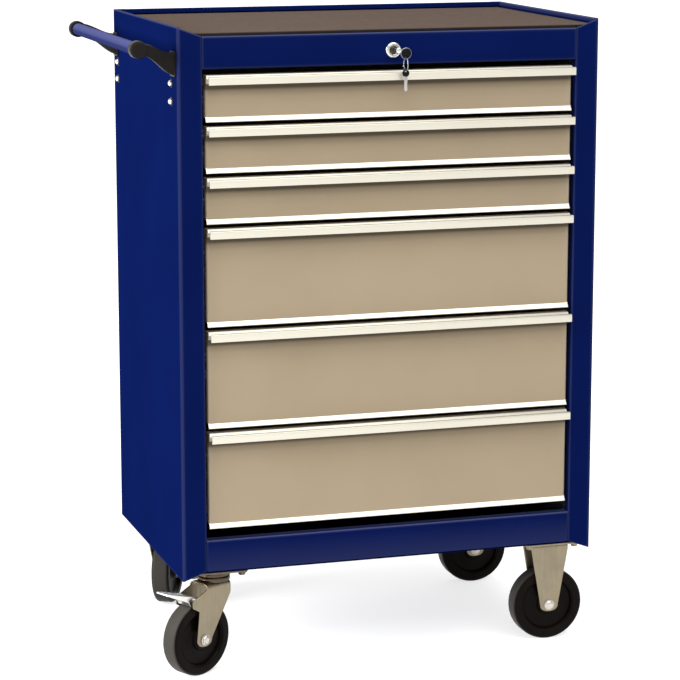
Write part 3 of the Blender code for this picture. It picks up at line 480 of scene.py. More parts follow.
slide_zinc = plated("slide_zinc", (0.58, 0.59, 0.60), 0.36, (1, 0.05, 1))
repaint(["left_slide_liner", "right_slide_liner"], slide_zinc)
runner_path = bent_line(
    [(runner_web - runner_reach, runner_half), (runner_web, runner_half),
     (runner_web, -runner_half), (runner_web - runner_reach, -runner_half)],
    runner_bend,
)
left_runner = sheet(runner_path, runner_start, runner_end, -runner_sheet, Y)
runner_rivet = faced(dome(0.0032, 0.0009), "+X")
runner_rivets = [put(runner_rivet, (-drawer_half + 0.001, along, 0)) for along in (0.05, 0.19, 0.33)]

# Drawers. Each is a tray of 1 mm steel with hemmed side walls, welded behind a front whose ends and top are
# folded back; the front's foot is flared out as a bright strip. Sand-coloured powder coat inside and out.
shallow_height, deep_count, shallow_count = 0.071, 3, 3
first_drop, last_rise, front_gap = 0.009, 0.0175, 0.006
front_recess, front_return, flare = 0.005, 0.012, 0.007
front_half = opening_half - 0.005
drawer_sheet = 0.001
tray_foot, tray_fall = 0.011, 0.008
tray_back = 0.395
catch_half, catch_reach, catch_fall = 0.0125, 0.012, 0.016
drawer_count = shallow_count + deep_count
free_height = opening_top - opening_foot - first_drop - last_rise - front_gap * (drawer_count - 1)
deep_height = (free_height - shallow_height * shallow_count) / deep_count
heights = [shallow_height] * shallow_count + [deep_height] * deep_count
feet = opening_top - first_drop - np.cumsum(heights) - front_gap * np.arange(drawer_count)


def pull_shadow_coat(finish, bands, deepest):
    """Painted shadow of the pull on a front: its coat is darkened by a share that follows the depth below its top
    edge.
    """
    tree = finish.node_tree
    shader = tree.nodes["Principled BSDF"]
    unshaded = shader.inputs["Base Color"].links[0].from_socket
    depth = mapped(tree, mark_value(tree, "below_top"), (0, deepest), (0, 1))
    stops = [(level / deepest, (share, share * 0.97, share * 0.94)) for level, share in bands]
    blend = tree.nodes.new("ShaderNodeMix")
    blend.data_type, blend.blend_type = "RGBA", "MULTIPLY"
    blend.inputs["Factor"].default_value = 1.0
    tree.links.new(unshaded, blend.inputs["A"])
    tree.links.new(graded(tree, depth, stops), blend.inputs["B"])
    tree.links.new(blend.outputs["Result"], shader.inputs["Base Color"])


# Its paler colour on the bends is a painted highlight.
sand_coat = powder_coat("sand_powder_coat", (0.455, 0.375, 0.262), (0.60, 0.53, 0.43), 0.42, 0.12, 0.035)
# The band darkened below each front's top edge is the pull's painted shadow.
pull_shadow_coat(sand_coat, ((0.0150, 0.22), (0.0205, 0.25), (0.0225, 0.55), (0.0250, 0.82), (0.0330, 1.0)), 0.05)
front_back = front_recess + front_return
front_plan = bent_line(
    [(-front_half, front_back), (-front_half, front_recess),
     (front_half, front_recess), (front_half, front_back)],
    0.0032,
    10,
)
strip_path = bent_line([(0.0054, 0.0090), (0.0050, 0.0080), (0.0004, 0.0006), (0.0044, 0.0006)], [0.0030, 0.0009])


def mark_depth(mesh, top):
    """How far each point of the front lies below its top edge; points behind the front are given one metre."""
    _, y, z = point_places(mesh).T
    write_mark(mesh, "below_top", np.where(y < front_recess + front_return / 2, top - z, 1.0))


def tray_shells(height):
    """A drawer about its foot: front sheet, top fold, hemmed channel of floor and walls, two ends and a catch."""
    top = height - tray_fall
    wall, hem, hem_drop, inset = drawer_half, 0.003, 0.005, 0.001
    section = bent_line(
        [(hem - wall, top - hem_drop), (hem - wall, top), (-wall, top), (-wall, tray_foot),
         (wall, tray_foot), (wall, top), (wall - hem, top), (wall - hem, top - hem_drop)],
        [0.0013, 0.0013, 0.003, 0.003, 0.0013, 0.0013],
        6,
    )
    edge = drawer_sheet / 4
    end_outline = [(-wall, tray_foot), (wall, tray_foot), (wall, top), (-wall, top)]
    fold_half = front_half - inset
    fold_top = [(-fold_half, front_recess + inset), (fold_half, front_recess + inset),
                (fold_half, front_back), (-fold_half, front_back)]
    catch_top, catch_back = height - catch_fall, tray_back + catch_reach
    catch_path = bent_line(
        [(tray_back - 0.0005, catch_top), (catch_back, catch_top), (catch_back, catch_top - 0.009)], 0.0022
    )
    return [
        sheet(front_plan, flare + 0.0005, height - 0.0002, drawer_sheet, Z),
        bar(fold_top, height - drawer_sheet, height, Z, edge),
        sheet(section, front_recess + drawer_sheet, tray_back, drawer_sheet, Y),
        bar(end_outline, front_recess + 0.0012, front_recess + 0.0022, Y, edge),
        bar(end_outline, tray_back - drawer_sheet, tray_back, Y, edge),
        sheet(catch_path, -catch_half, catch_half, -0.0015, X),
    ]


# Drawer pulls. A full-width extrusion of satin anodised aluminium, screwed to the front's top edge: a flange, a
# finger groove and a rounded lip that turns down at the front.
pull_half = opening_half - 0.006


def satin_aluminium(name, color, roughness, mark_tone):
    """Anodised extrusion: pale satin metal with hair-fine lines along the drawer, a slight cloudiness, and painted
    shade: what faces up is darkened by a share."""
    lines = (1100.0, 2.0, (0.01, 1, 1))
    return patterned(
        name, color, (roughness, 0.55, 0.5), shares=((0.3, 0.96), (0.7, 1)),
        cloud=(9.0, 3.0), gloss=lines, swing=(-0.05, 0.08),
        grain=lines, bump=(0.00003, 0.35), painted_light=("upward", np.array(color) * mark_tone, 0.9),
    )


# On the pull, the darkened top and groove are painted shade.
pull_satin = satin_aluminium("satin_aluminium", (0.70, 0.66, 0.56), 0.38, 0.55)
# A brighter copy of the pull's aluminium for the foot strip: the extra brightness is a painted highlight on the
# flare.
lit_strip_satin = satin_aluminium("highlight_strip_aluminium", (0.84, 0.80, 0.69), 0.38, 0.9)
pull_section = bent_line(
    [(0.0047, 0), (0, 0), (-0.0036, -0.0056), (-0.0110, -0.0058), (-0.0122, -0.0012),
     (-0.0170, -0.0012), (-0.0170, -0.0135), (-0.0150, -0.0135), (-0.0138, -0.0078),
     (-0.0036, -0.0078), (0, -0.0110), (0.0047, -0.0135)],
    [0.0012, 0.0025, 0.0015, 0.0010, 0.0022, 0.0009, 0.0006, 0.0015, 0.0020, 0.0020],
    6,
)
pull = bar(pull_section, -pull_half, pull_half, X, 0.0003)
strip_half, strip_sheet, slide_share = front_half - 0.0004, 0.0008, 0.62
strip = sheet(strip_path, -strip_half, strip_half, strip_sheet, X)
for number, (foot, height) in enumerate(zip(feet, heights), 1):
    body = f"drawer_{number}"
    rise = (0, 0, foot)
    slide_middle = (0, 0, foot + flare + (height - flare) * slide_share)
    tray = [put(shell, rise) for shell in tray_shells(height)]
    case = fit_piece(f"{body}_case", tray, sand_coat, body, [f"{body}_tray"])
    mark_depth(case.data, foot + height)
    fit_piece(f"{body}_foot_strip", [put(strip, rise)], lit_strip_satin, body)
    grip = [put(pull, (0, 0, foot + height))]
    fit_piece(f"{body}_grip", grip, pull_satin, body, [f"{body}_pull"], 50)
    hung = [put(shell, slide_middle) for shell in (left_runner, *runner_rivets)]
    for side, shells in on_both_sides(hung):
        fit_piece(f"{body}_{side}_runner", shells, slide_zinc, body, [f"{body}_{side}_slide"])

# Push handle. A blue powder-coated tube, pushed at each end into a black moulded bracket: a round cup, and an arm
# that widens to a pad screwed through the side panel. Four bright domed screws with washers sit below the pads.
handle_reach, handle_drop, handle_radius = 0.060, 0.031, 0.0095
cup_radius, cup_front, cup_rear = 0.013, -0.012, 0.008
tube_line = (-half_shell - handle_reach, shell_height - handle_drop)
pad_middle, pad_wide, pad_tall = (0.021, 0.795), 0.013, 0.017
arm_end, neck_wide, neck_tall = (tube_line[0] + 0.006, -0.002), 0.0064, 0.0090


def moulded_plastic(name, color, roughness):
    """Injection moulded plastic: a fine spark-eroded grain with slightly shinier, handled patches."""
    patches = (40.0, 3.0)
    return patterned(
        name, color, (roughness, 0.0, 0.06), shares=((0.3, 1), (0.7, 1.3)),
        cloud=patches, gloss=patches, swing=(0.05, -0.07), grain=(1400.0, 2.0), bump=(0.00006, 0.4),
    )


def rounded_ring(half_a, half_b, corner, steps=6):
    """A rectangle with quarter-circle corners, as flat points in order; one ring for each pair of halves."""
    quarter = np.linspace(0, math.pi / 2, steps)[None, :] + np.arange(4)[:, None] * math.pi / 2
    sign_a, sign_b = np.array([1, -1, -1, 1])[:, None], np.array([1, 1, -1, -1])[:, None]
    half_a, half_b = np.asarray(half_a)[..., None, None], np.asarray(half_b)[..., None, None]
    a = sign_a * (half_a - corner) + corner * np.cos(quarter)
    b = sign_b * (half_b - corner) + corner * np.sin(quarter)
    return np.stack([a, b], -1).reshape(*half_a.shape[:-2], -1, 2)


def handle_arm():
    """The arm from pad to cup: rounded rectangles whose size and middle ease from one end's to the other's."""
    share = np.linspace(0, 1, 15)
    ease = share**2 * (3 - 2 * share)
    x = -half_shell - sheet_gap + share * (arm_end[0] + half_shell)
    y = pad_middle[0] + ease * (arm_end[1] - pad_middle[0])
    z = pad_middle[1] + ease * (tube_line[1] - pad_middle[1])
    wide = pad_wide + ease**0.6 * (neck_wide - pad_wide)
    tall = pad_tall + ease**0.7 * (neck_tall - pad_tall)
    flat = rounded_ring(wide, tall, 0.0035) + np.stack([y, z], -1)[:, None]
    return skin(stand(flat, np.broadcast_to(x[:, None], flat.shape[:2]), X))


black_moulding = moulded_plastic("black_bracket_plastic", (0.011, 0.0095, 0.0085), 0.42)
cup_length, cup_depth, bore_radius = cup_rear - cup_front, 0.011, handle_radius + 0.0002
cup_profile = [
    (0, 0), (cup_radius - 0.0035, 0), (cup_radius - 0.0015, 0.0006), (cup_radius - 0.0003, 0.0020),
    (cup_radius, 0.0040), (cup_radius, cup_length - 0.0012), (cup_radius - 0.0010, cup_length),
    (bore_radius, cup_length), (bore_radius, cup_length - cup_depth), (0, cup_length - cup_depth),
]
cup = put(faced(lathe(cup_profile, 40), "+Y"), (tube_line[0], cup_front, tube_line[1]))
pad_outline = rounded_ring(0.0150, 0.0190, 0.004) + pad_middle
pad = bar(pad_outline, -half_shell - 0.0028, -half_shell - sheet_gap, X, 0.0008)
front_bracket = [cup, handle_arm(), pad]
rear_bracket = [flipped(shell, Y, shell_depth / 2) for shell in front_bracket]
for end, shells in (("front", front_bracket), ("rear", rear_bracket)):
    name, stands_for = f"{end}_grip_bracket", [f"{end}_handle_bracket"]
    fit_piece(name, shells, black_moulding, "cabinet", stands_for, 45)
tube_front, tube_rear = -0.0037, shell_depth + 0.0037
tube_profile = [(0, tube_front), (handle_radius, tube_front), (handle_radius, tube_rear), (0, tube_rear)]
tube = put(faced(lathe(tube_profile, 48), "+Y"), (tube_line[0], 0, tube_line[1]))
# Its paler blue along the curve, strongest on top, is a painted highlight.
tube_coat = powder_coat("handle_blue_coat", (0.0035, 0.0100, 0.080), (0.120, 0.130, 0.300), 0.30, 0.0, 0.07)
fit_piece("push_tube", [tube], tube_coat, "cabinet", ["handle_tube"])
screw_bright = plated("bright_screw_zinc", (0.80, 0.80, 0.82), 0.22, (1, 1, 1))
screw_places = [(0.036, 0.765), (0.036, 0.7376), (0.3985, 0.7675), (0.3985, 0.740)]
washer_radius, washer_sheet = 0.0072, 0.0011
washer_profile = [
    (0, 0), (washer_radius, 0), (washer_radius, 0.0007), (washer_radius - 0.0005, washer_sheet), (0, washer_sheet)
]
washer = faced(lathe(washer_profile, 28), "-X")
screw = faced(dome(0.0046, 0.0034, 0.0012), "-X")
# The black washers stand in for the dark halo of shade round each screw.
washers = [put(washer, (-half_shell, *place)) for place in screw_places]
screws = [put(screw, (-half_shell - washer_sheet, *place)) for place in screw_places]
fit_piece("side_screw_shade_washers", washers, black_moulding, "cabinet")
fit_piece("side_screws", screws, screw_bright, "cabinet")

# Lock. A nickel-plated cam lock in the upper rail: a rosette with a rounded face, and a plug painted dark as shade.
# The key's shank passes a pale boss into a black head with a steel band; a wire ring carries the spare key.
lock_place = np.array([0, 0, shell_height - 0.0412])
plug_radius, rosette_radius, rosette_proud = 0.0063, 0.0123, 0.003
key_plane = 0.0275
head_side, head_fall, head_radius, head_sheet = 0.011, 0.003, 0.0085, 0.003
ring_hole, ring_radius, ring_wire = 0.0016, 0.010, 0.0008
hole_drop = head_fall + head_radius - 0.001 - ring_hole
ring_slack = ring_hole - ring_wire - sheet_gap


def nickel(name, color, roughness):
    """Bright plating over a polished casting: faint cloudy haze and hairline polishing marks."""
    haze = (120.0, 4.0)
    return patterned(
        name, color, (roughness, 1.0, 0.5), shares=((0.3, 0.9), (0.7, 1)),
        cloud=haze, gloss=haze, swing=(-0.04, 0.08), grain=(1800.0, 2.0, (1, 1, 0.1)), bump=(0.00002, 0.3),
    )


def eyed_disc(radius, offset, hole, thickness, edge=0.0005, steps=40):
    """A disc about Z, drilled off centre: rays from the hole's middle cross the disc to its rim, and a rounded
    loop runs out along one face and back along the other."""
    angle = np.linspace(0, 2 * math.pi, steps, endpoint=False)
    ray = np.stack([np.cos(angle), np.sin(angle)], -1)
    along = ray[:, 1] * offset
    reach = along + np.sqrt(radius**2 - offset**2 + along**2)
    half = thickness / 2
    inner, outer = np.full(steps, hole), reach
    radii = np.stack([inner, inner + edge, outer - edge, outer, outer, outer - edge, inner + edge, inner], -1)
    levels = np.array([half - edge, half, half, half - edge, edge - half, -half, -half, edge - half])
    flat = ray[:, None, :] * radii[..., None] - (0, offset)
    return skin(np.concatenate([flat, np.broadcast_to(levels[:, None], (steps, 8, 1))], -1), capped=False)


lock_nickel = nickel("lock_nickel", (0.60, 0.59, 0.57), 0.2)
# The plug's near-black nickel is painted shade and dark reflection, standing for the key slot.
shaded_plug_nickel = nickel("plug_shade_nickel", (0.050, 0.046, 0.036), 0.3)
ring_steel = nickel("wire_ring_steel", (0.30, 0.31, 0.32), 0.3)
blade_nickel = nickel("worn_blade_nickel", (0.46, 0.44, 0.42), 0.3)
key_plastic = moulded_plastic("key_head_plastic", (0.006, 0.0065, 0.007), 0.35)
bore, neck_radius, neck_end = plug_radius + 0.0003, 0.0095, -0.024
rosette_profile = [
    (bore, -0.018), (bore, rosette_proud - 0.0006), (plug_radius + 0.0009, rosette_proud),
    (rosette_radius - 0.0030, rosette_proud), (rosette_radius - 0.0012, rosette_proud - 0.0006),
    (rosette_radius - 0.0003, rosette_proud - 0.0016), (rosette_radius, sheet_gap),
    (neck_radius, sheet_gap), (neck_radius, neck_end), (bore, neck_end),
]
rosette = put(faced(lathe(rosette_profile, 48), "-Y"), lock_place)
fit_piece("lock_rosette", [rosette], lock_nickel, "cabinet", ["lock_barrel"], 50)
plug_end, plug_face = -0.0255, 0.0020
plug_profile = [
    (0, plug_end), (plug_radius, plug_end), (plug_radius, 0.0014),
    (plug_radius - 0.0006, plug_face), (0, plug_face),
]
plug = faced(lathe(plug_profile, 40), "-Y")
cam_outline = [
    (-0.004, -0.004), (0.0125, -0.004), (0.016, -0.0005), (0.016, 0.0005), (0.0125, 0.004), (-0.004, 0.004)
]
cam = bar(cam_outline, 0.0243, 0.0268, Y, 0.0004)
core = [put(plug, lock_place), put(cam, lock_place)]
fit_piece("lock_core", core, shaded_plug_nickel, "lock_plug", ["lock_plug"], 50)
shank = bar(rounded_ring(0.0010, 0.0040, 0.0004, 3), -key_plane, -0.0023, Y, 0.0003)
boss = faced(put(dome(0.0045, 0.0012, 0.0022), (0, 0, key_plane - 0.0018)), "-Y")
key_metal = [put(shank, lock_place), put(boss, lock_place + (0.0, 0, 0.0012))]
fit_piece("key_shank", key_metal, lock_nickel, "lock_plug")
head = faced(eyed_disc(head_radius, head_radius - 0.001 - ring_hole, ring_hole, head_sheet, 0.0008), "-Y")
head_hole = lock_place + (head_side, -key_plane, -hole_drop)
head_middle = lock_place + (head_side, -key_plane, -head_fall)
fit_piece("key_head", [put(head, head_middle)], key_plastic, "lock_plug", ["lock_key"], 50)
band_half = [(head_radius, 0.0011), (0.0080, 0.0014), (0.0076, 0.0011)]
band_profile = np.vstack([np.array(band_half[::-1]) * (1, -1), band_half])
band = put(faced(lathe(band_profile, 48), "-Y"), head_middle)
fit_piece("key_head_band", [band], ring_steel, "lock_plug")


def wire_ring(radius, wire, steps=56, around=12):
    """A ring of round wire about X: two angles, one round the ring and one round its wire."""
    big = np.linspace(0, 2 * math.pi, steps, endpoint=False)[:, None]
    small = np.linspace(0, 2 * math.pi, around, endpoint=False)[None, :]
    reach = radius + wire * np.cos(small)
    across = np.broadcast_to(wire * np.sin(small), (steps, around))
    return skin(np.stack([across, reach * np.sin(big), reach * np.cos(big)], -1), capped=False)


ring_middle = head_hole - (0, 0, ring_slack + ring_radius)
wire = put(wire_ring(ring_radius, ring_wire), ring_middle)
fit_piece("key_wire_ring", [wire], ring_steel, "key_ring", ["key_ring"])
spare_radius, spare_sheet, spare_half, spare_length = 0.0055, 0.0022, 0.0027, 0.022
spare_hole = ring_middle - (0, 0, ring_radius + ring_slack)
bow_offset = spare_radius - 0.0007 - ring_hole
bow = faced(eyed_disc(spare_radius, -bow_offset, ring_hole, spare_sheet), "-Y")
bow_foot = -bow_offset - spare_radius
tip = bow_foot - spare_length
bitting = np.array([0, 0.5, 0.2, 0.9, 0.4, 1.0, 0.3, 0.7, 0.1]) * 0.0009
teeth_z = np.linspace(tip + 0.004, bow_foot - 0.006, len(bitting))
blade_outline = np.vstack(
    [
        [(-spare_half, bow_foot + 0.002), (-spare_half, tip + 0.002), (0, tip), (spare_half, tip + 0.0025)],
        np.stack([spare_half - bitting, teeth_z], -1),
        [(spare_half, bow_foot - 0.004), (spare_half, bow_foot + 0.002)],
    ]
)
blade = bar(blade_outline, -0.0008, 0.0008, Y, 0.0002)
bow_shells = [put(bow, spare_hole - (0, 0, bow_offset))]
fit_piece("spare_key_bow", bow_shells, key_plastic, "spare_key", ["spare_key"], 50)
fit_piece("spare_key_blade", [put(blade, spare_hole)], blade_nickel, "spare_key")
mechanism_zinc = plated("mechanism_zinc", (0.60, 0.57, 0.50), 0.4, (1, 1, 0.1), 0.18)
repaint(["lock_rocker", "lock_bar"], mechanism_zinc)

# Castors. A bolted top plate with four hexagon bolts, and a pressed fork of 2.5 mm zinc-passivated steel: fixed
# at the right, and at the left hung from a ball race under the plate, with a brake lever pinned between its ears.
castor_height, wheel_radius, wheel_half = 0.166, 0.059, 0.015
castor_side, castor_front = half_shell - 0.059, 0.0435
fork_sheet, fork_inner, leg_half, leg_drop = 0.0025, 0.018, 0.0155, 0.0108
plate_half_x, plate_half_y, plate_sheet = 0.0475, 0.0375, 0.003
bolt_x, bolt_y, bolt_washer, bracket_half = 0.0385, 0.0285, 0.0012, 0.0315
plate_top = castor_height - wheel_radius - sheet_gap
axle_level = wheel_radius - castor_height + 0.010
trail, front_turn, rear_turn = 0.038, math.radians(208.6), math.radians(62.0)
axle_zinc = plated("axle_bolt_zinc", (0.52, 0.49, 0.44), 0.3, (1, 1, 1))
fork_zinc = plated("fork_zinc", (0.255, 0.217, 0.152), 0.40, (1, 1, 0.06), 0.16)
# Darker copies of the fork's zinc for the left plates, the race and the crown: painted shade under the cart.
shaded_plate_zinc = plated("shade_darkened_plate_zinc", (0.13, 0.11, 0.08), 0.38, (1, 1, 1), 0.16)
shaded_race_zinc = plated("shade_darkened_race_zinc", (0.085, 0.065, 0.045), 0.24, (1, 1, 1), 0.16)
pedal_zinc = plated("pedal_zinc", (0.74, 0.73, 0.70), 0.34, (1, 1, 1), 0.04)


def hex_bolt(across, height, washer, steps=6):
    """A hexagon head about Z on a washer, its corners turned down: a six-sided lathe of the head's profile."""
    corner = across / math.sqrt(3)
    head = [(0, 0), (corner, 0), (corner, height * 0.75), (corner * 0.86, height), (0, height)]
    ring = [(0, -bolt_washer), (washer - 0.0003, -bolt_washer), (washer, -0.0009), (washer, 0), (0, 0)]
    return [lathe(head, steps), lathe(ring, 28)]


def castor_plate():
    """The top plate about the castor's axis at axle height, and its four bolts with their heads underneath."""
    plate = bar(rounded_ring(plate_half_x, plate_half_y, 0.008), plate_top - plate_sheet, plate_top, Z, 0.0006)
    bolts = []
    for side_x in (-1, 1):
        for side_y in (-1, 1):
            place = (side_x * bolt_x, side_y * bolt_y, plate_top - plate_sheet - bolt_washer)
            bolts += [put(faced(shell, "-Z"), place) for shell in hex_bolt(0.010, 0.0045, 0.0078)]
    return [plate, *bolts]


def fork_shell(middle, outline, top, bend=0.006):
    """A strap over the wheel: from one leg's tip up its height, round a bend, across the crown and down the
    other leg. Its low and high edges are read by height from the leg's outline. The outline starts with a blunt
    tip, whose height goes by the cosine and whose half width goes by a root of the sine."""
    turn = np.linspace(0.04, math.pi / 2, 14)
    half = leg_half * np.sin(turn) ** 0.7
    tip = np.stack([-leg_drop * np.cos(turn), middle - half, middle + half], -1)
    levels, low, high = np.vstack([tip, outline]).T
    height = np.concatenate([levels[levels < -1e-6], np.linspace(0, top - bend, 30)])
    turn = np.linspace(0, math.pi / 2, 9)[1:]
    side = np.concatenate([np.full(len(height), fork_inner), fork_inner - bend * (1 - np.cos(turn))])
    up = np.concatenate([height, top - bend * (1 - np.sin(turn))])
    path = np.concatenate([np.stack([side, up], -1), np.stack([-side, up], -1)[::-1]])
    edges = [np.concatenate([np.interp(height, levels, edge), np.full(8, edge[-1])]) for edge in (low, high)]
    return sheet(path, *[np.concatenate([edge, edge[::-1]]) for edge in edges], -fork_sheet, X)


def axle_bolt():
    """The axle about Y: a washer at each end, under a hexagon head at +Y and a round cap at -Y."""
    face = fork_inner + fork_sheet + sheet_gap
    shaft = faced(lathe([(0, -face), (0.005, -face), (0.005, face), (0, face)], 24), "+Y")
    washer = [(0, 0), (0.0083, 0), (0.0085, 0.0003), (0.0085, 0.0010), (0.0080, 0.0013), (0, 0.0013)]
    cap = [(0, 0.0013), (0.0072, 0.0013), (0.0072, 0.0026), (0.0060, 0.0040), (0.0038, 0.0046), (0, 0.0048)]
    shells = [shaft]
    for direction, side in (("+Y", 1), ("-Y", -1)):
        shells.append(put(faced(lathe(washer, 32), direction), (0, side * face, 0)))
        shells.append(put(faced(lathe(cap, 32 if side < 0 else 6), direction), (0, side * face, 0)))
    return shells


crown = plate_top + sheet_gap - plate_sheet - fork_sheet
fixed_fork = fork_shell(0, [(crown - 0.010, -bracket_half, bracket_half)], crown)
race_foot = plate_top - plate_sheet - 0.008
crown_top = race_foot - sheet_gap
web = crown_top - 0.009 - fork_sheet + 0.0005
swing_outline = [
    (web - 0.038, -0.006, trail + 0.010), (web - 0.030, -0.011, 0.062),
    (web - 0.018, -0.018, 0.062), (web - 0.006, -0.018, 0.032),
]
swing_fork = fork_shell(trail, swing_outline, web)
race_top = plate_top - plate_sheet
race_radius, race_lip, cup_side, crown_foot = 0.0290, 0.0270, 0.0260, web + fork_sheet - 0.0005
race_profile = [
    (0, race_top), (race_radius, race_top), (race_radius, race_foot + 0.0045),
    (race_radius - 0.0010, race_foot + 0.0030), (race_lip, race_foot + 0.0025),
    (race_lip, race_foot), (0, race_foot),
]
race = lathe(race_profile, 56)
crown_profile = [
    (0, crown_top), (0.0225, crown_top), (0.0245, crown_top - 0.0008), (cup_side, crown_top - 0.0030),
    (cup_side, crown_top - 0.0075), (0.0250, crown_foot), (0, crown_foot),
]
crown_cup = lathe(crown_profile, 56)
king_nut = [put(faced(shell, "-Z"), (0, 0, web)) for shell in hex_bolt(0.017, 0.007, 0.0125)]
pedal_pin = (0.052, crown_top - 0.0305)
pedal_half, pedal_run, pedal_rise = 0.014, 0.056, 0.016
slope = math.atan2(pedal_rise, pedal_run)
ahead, across = np.array([math.cos(slope), math.sin(slope)]), np.array([-math.sin(slope), math.cos(slope)])


def pedal_shells():
    """The brake lever about its pin: a hub, a toe over the tread and a foot plate with three pressed ribs."""
    hub, sheet_steel, reach = 0.005, 0.003, math.hypot(pedal_run, pedal_rise)
    turn = np.linspace(0, math.pi, 12)[:, None]
    round_hub = hub * (across * np.cos(turn) - ahead * np.sin(turn))
    toe = np.array([0.010, -0.0075])
    tip_at = ahead * reach + across * hub
    outline = np.vstack(
        [
            round_hub,
            [toe - ahead * sheet_steel, toe, toe + (ahead + across) * hub],
            [tip_at - across * sheet_steel, tip_at - across * 0.0008, tip_at - ahead * 0.001],
        ]
    )
    shells = [bar(outline, -pedal_half, pedal_half, Y, 0.0008)]
    for rib in (0.62, 0.75, 0.88):
        middle = ahead * reach * rib + across * hub
        bead = bent_line([middle - ahead * 0.002, middle + across * 0.0011, middle + ahead * 0.002], 0.0012, 4)
        shells.append(bar(np.vstack([bead, [middle - across * 0.0005]]), -0.010, 0.010, Y, 0.0004))
    shells.append(faced(lathe([(0, -0.0177), (0.003, -0.0177), (0.003, 0.0177), (0, 0.0177)], 20), "+Y"))
    return shells


# Wheels. A tread of black rubber with rounded shoulders and a moulding line, on a black moulded core with a
# dished web and a hub at its middle, which turns on the axle. The loop then puts the four castors together.
# The tread's running face turns paler: partly dust, partly a painted sheen.
tread_black, tread_dust_and_sheen = (0.0045, 0.0032, 0.0025), (0.078, 0.072, 0.063)
tread_rubber = rubber("wheel_tread_rubber", tread_black, tread_dust_and_sheen, 0.40, 0.05, "running")
core_plastic = moulded_plastic("wheel_core_plastic", (0.003, 0.0018, 0.0012), 0.38)
rim_radius, hub_radius, hub_half, axle_radius, tread_bend = 0.044, 0.017, 0.017, 0.0053, 0.006
shoulder = np.linspace(0, math.pi / 2, 8)
bend_across = wheel_radius - tread_bend + tread_bend * np.cos(shoulder)
tread_side = np.stack([bend_across, wheel_half - tread_bend + tread_bend * np.sin(shoulder)], -1)
crest = [(wheel_radius - 0.0003, 0.0045), (wheel_radius, 0.0008)]
tread_half = [*crest[::-1], *tread_side, (rim_radius + 0.0010, wheel_half), (rim_radius, wheel_half - 0.0008)]
core_half = [
    (rim_radius, wheel_half - 0.0012), (rim_radius - 0.0016, wheel_half - 0.0006),
    (rim_radius - 0.0026, wheel_half - 0.0016), (rim_radius - 0.0040, wheel_half - 0.0060),
    (hub_radius + 0.0060, wheel_half - 0.0066), (hub_radius + 0.0016, wheel_half - 0.0040),
    (hub_radius, wheel_half + 0.0010), (hub_radius - 0.0012, hub_half), (axle_radius, hub_half),
]


def about_middle(half, steps):
    """A wheel's ring about Y: one half of its profile and the mirror image of it, turned round the axle."""
    half = np.array(half)
    return faced(lathe(np.vstack([half, half[::-1] * (1, -1)]), steps), "+Y")


def mark_running(mesh, middle, turn):
    """Which points of a tread lie on its running face: those whose distance from the axle is near the radius."""
    points = point_places(mesh) - middle
    axle = np.array([-math.sin(turn), math.cos(turn), 0])
    away = np.linalg.norm(points - (points @ axle)[:, None] * axle, axis=1)
    write_mark(mesh, "running", np.clip((away - wheel_radius + 0.002) / 0.0015, 0, 1))


def fit_wheel(name, middle, turn, carrier):
    """A castor's axle on the body that carries it, and its tread and core on the wheel's own."""
    axle = [put(shell, middle, turn) for shell in axle_bolt()]
    fit_piece(f"{name}_axle", axle, axle_zinc, carrier, [f"{name}_castor_axle"])
    shells, stands_for = [put(wheel_tread, middle, turn)], [f"{name}_castor_wheel"]
    tread = fit_piece(f"{name}_tread", shells, tread_rubber, f"{name}_wheel", stands_for)
    mark_running(tread.data, middle, turn)
    fit_piece(f"{name}_core", [put(wheel_core, middle, turn)], core_plastic, f"{name}_wheel")


wheel_tread, wheel_core = about_middle(tread_half, 96), about_middle(core_half, 72)
for end, place_y, turn in (("front", castor_front, front_turn), ("rear", shell_depth - castor_front, rear_turn)):
    fixed = np.array([castor_side, place_y, axle_level])
    name = f"{end}_right"
    shells = [put(shell, fixed) for shell in (*castor_plate(), fixed_fork)]
    fit_piece(f"{name}_fork", shells, fork_zinc, "cabinet", [f"{name}_castor_bracket"])
    fit_wheel(name, fixed, 0.0, "cabinet")
    name = f"{end}_left"
    hung = fixed * (-1, 1, 1)
    heading = np.array([math.cos(turn), math.sin(turn), 0])
    pinned = hung + pedal_pin[0] * heading + (0, 0, pedal_pin[1])
    shells = [put(shell, hung) for shell in castor_plate()]
    fit_piece(f"{name}_plate", shells, shaded_plate_zinc, "cabinet", [f"{name}_castor_plate"])
    fit_piece(f"{name}_race", [put(race, hung)], shaded_race_zinc, "cabinet")
    swivel = f"{name}_fork"
    fit_piece(swivel, [put(swing_fork, hung, turn)], fork_zinc, swivel, [f"{name}_castor_fork"])
    shells = [put(shell, hung, turn) for shell in (crown_cup, *king_nut)]
    fit_piece(f"{name}_crown", shells, shaded_race_zinc, swivel)
    fit_wheel(name, hung + trail * heading, turn, swivel)
    shells = [put(shell, pinned, turn) for shell in pedal_shells()]
    fit_piece(f"{name}_brake", shells, pedal_zinc, f"{name}_pedal", [f"{name}_castor_pedal"])

# Studio. A pale floor that runs out to white, a big soft lamp above and in front, a smaller one from the left,
# and an even pale surround. The camera stands to the left of the cart, a little above it.
floor_mesh = bpy.data.meshes.new("studio_floor")
floor_mesh.from_pydata([(-40, -40, 0), (40, -40, 0), (40, 60, 0), (-40, 60, 0)], [], [(0, 1, 2, 3)])
floor = added("studio_floor", floor_mesh)
paper = bpy.data.materials.new("studio_paper")
paper.use_nodes = True
tree = paper.node_tree
shader = tree.nodes["Principled BSDF"]
shader.inputs["Base Color"].default_value = (0.8, 0.8, 0.8, 1)
shader.inputs["Roughness"].default_value = 0.9
shader.inputs["Specular IOR Level"].default_value = 0.0
glow = tree.nodes.new("ShaderNodeEmission")


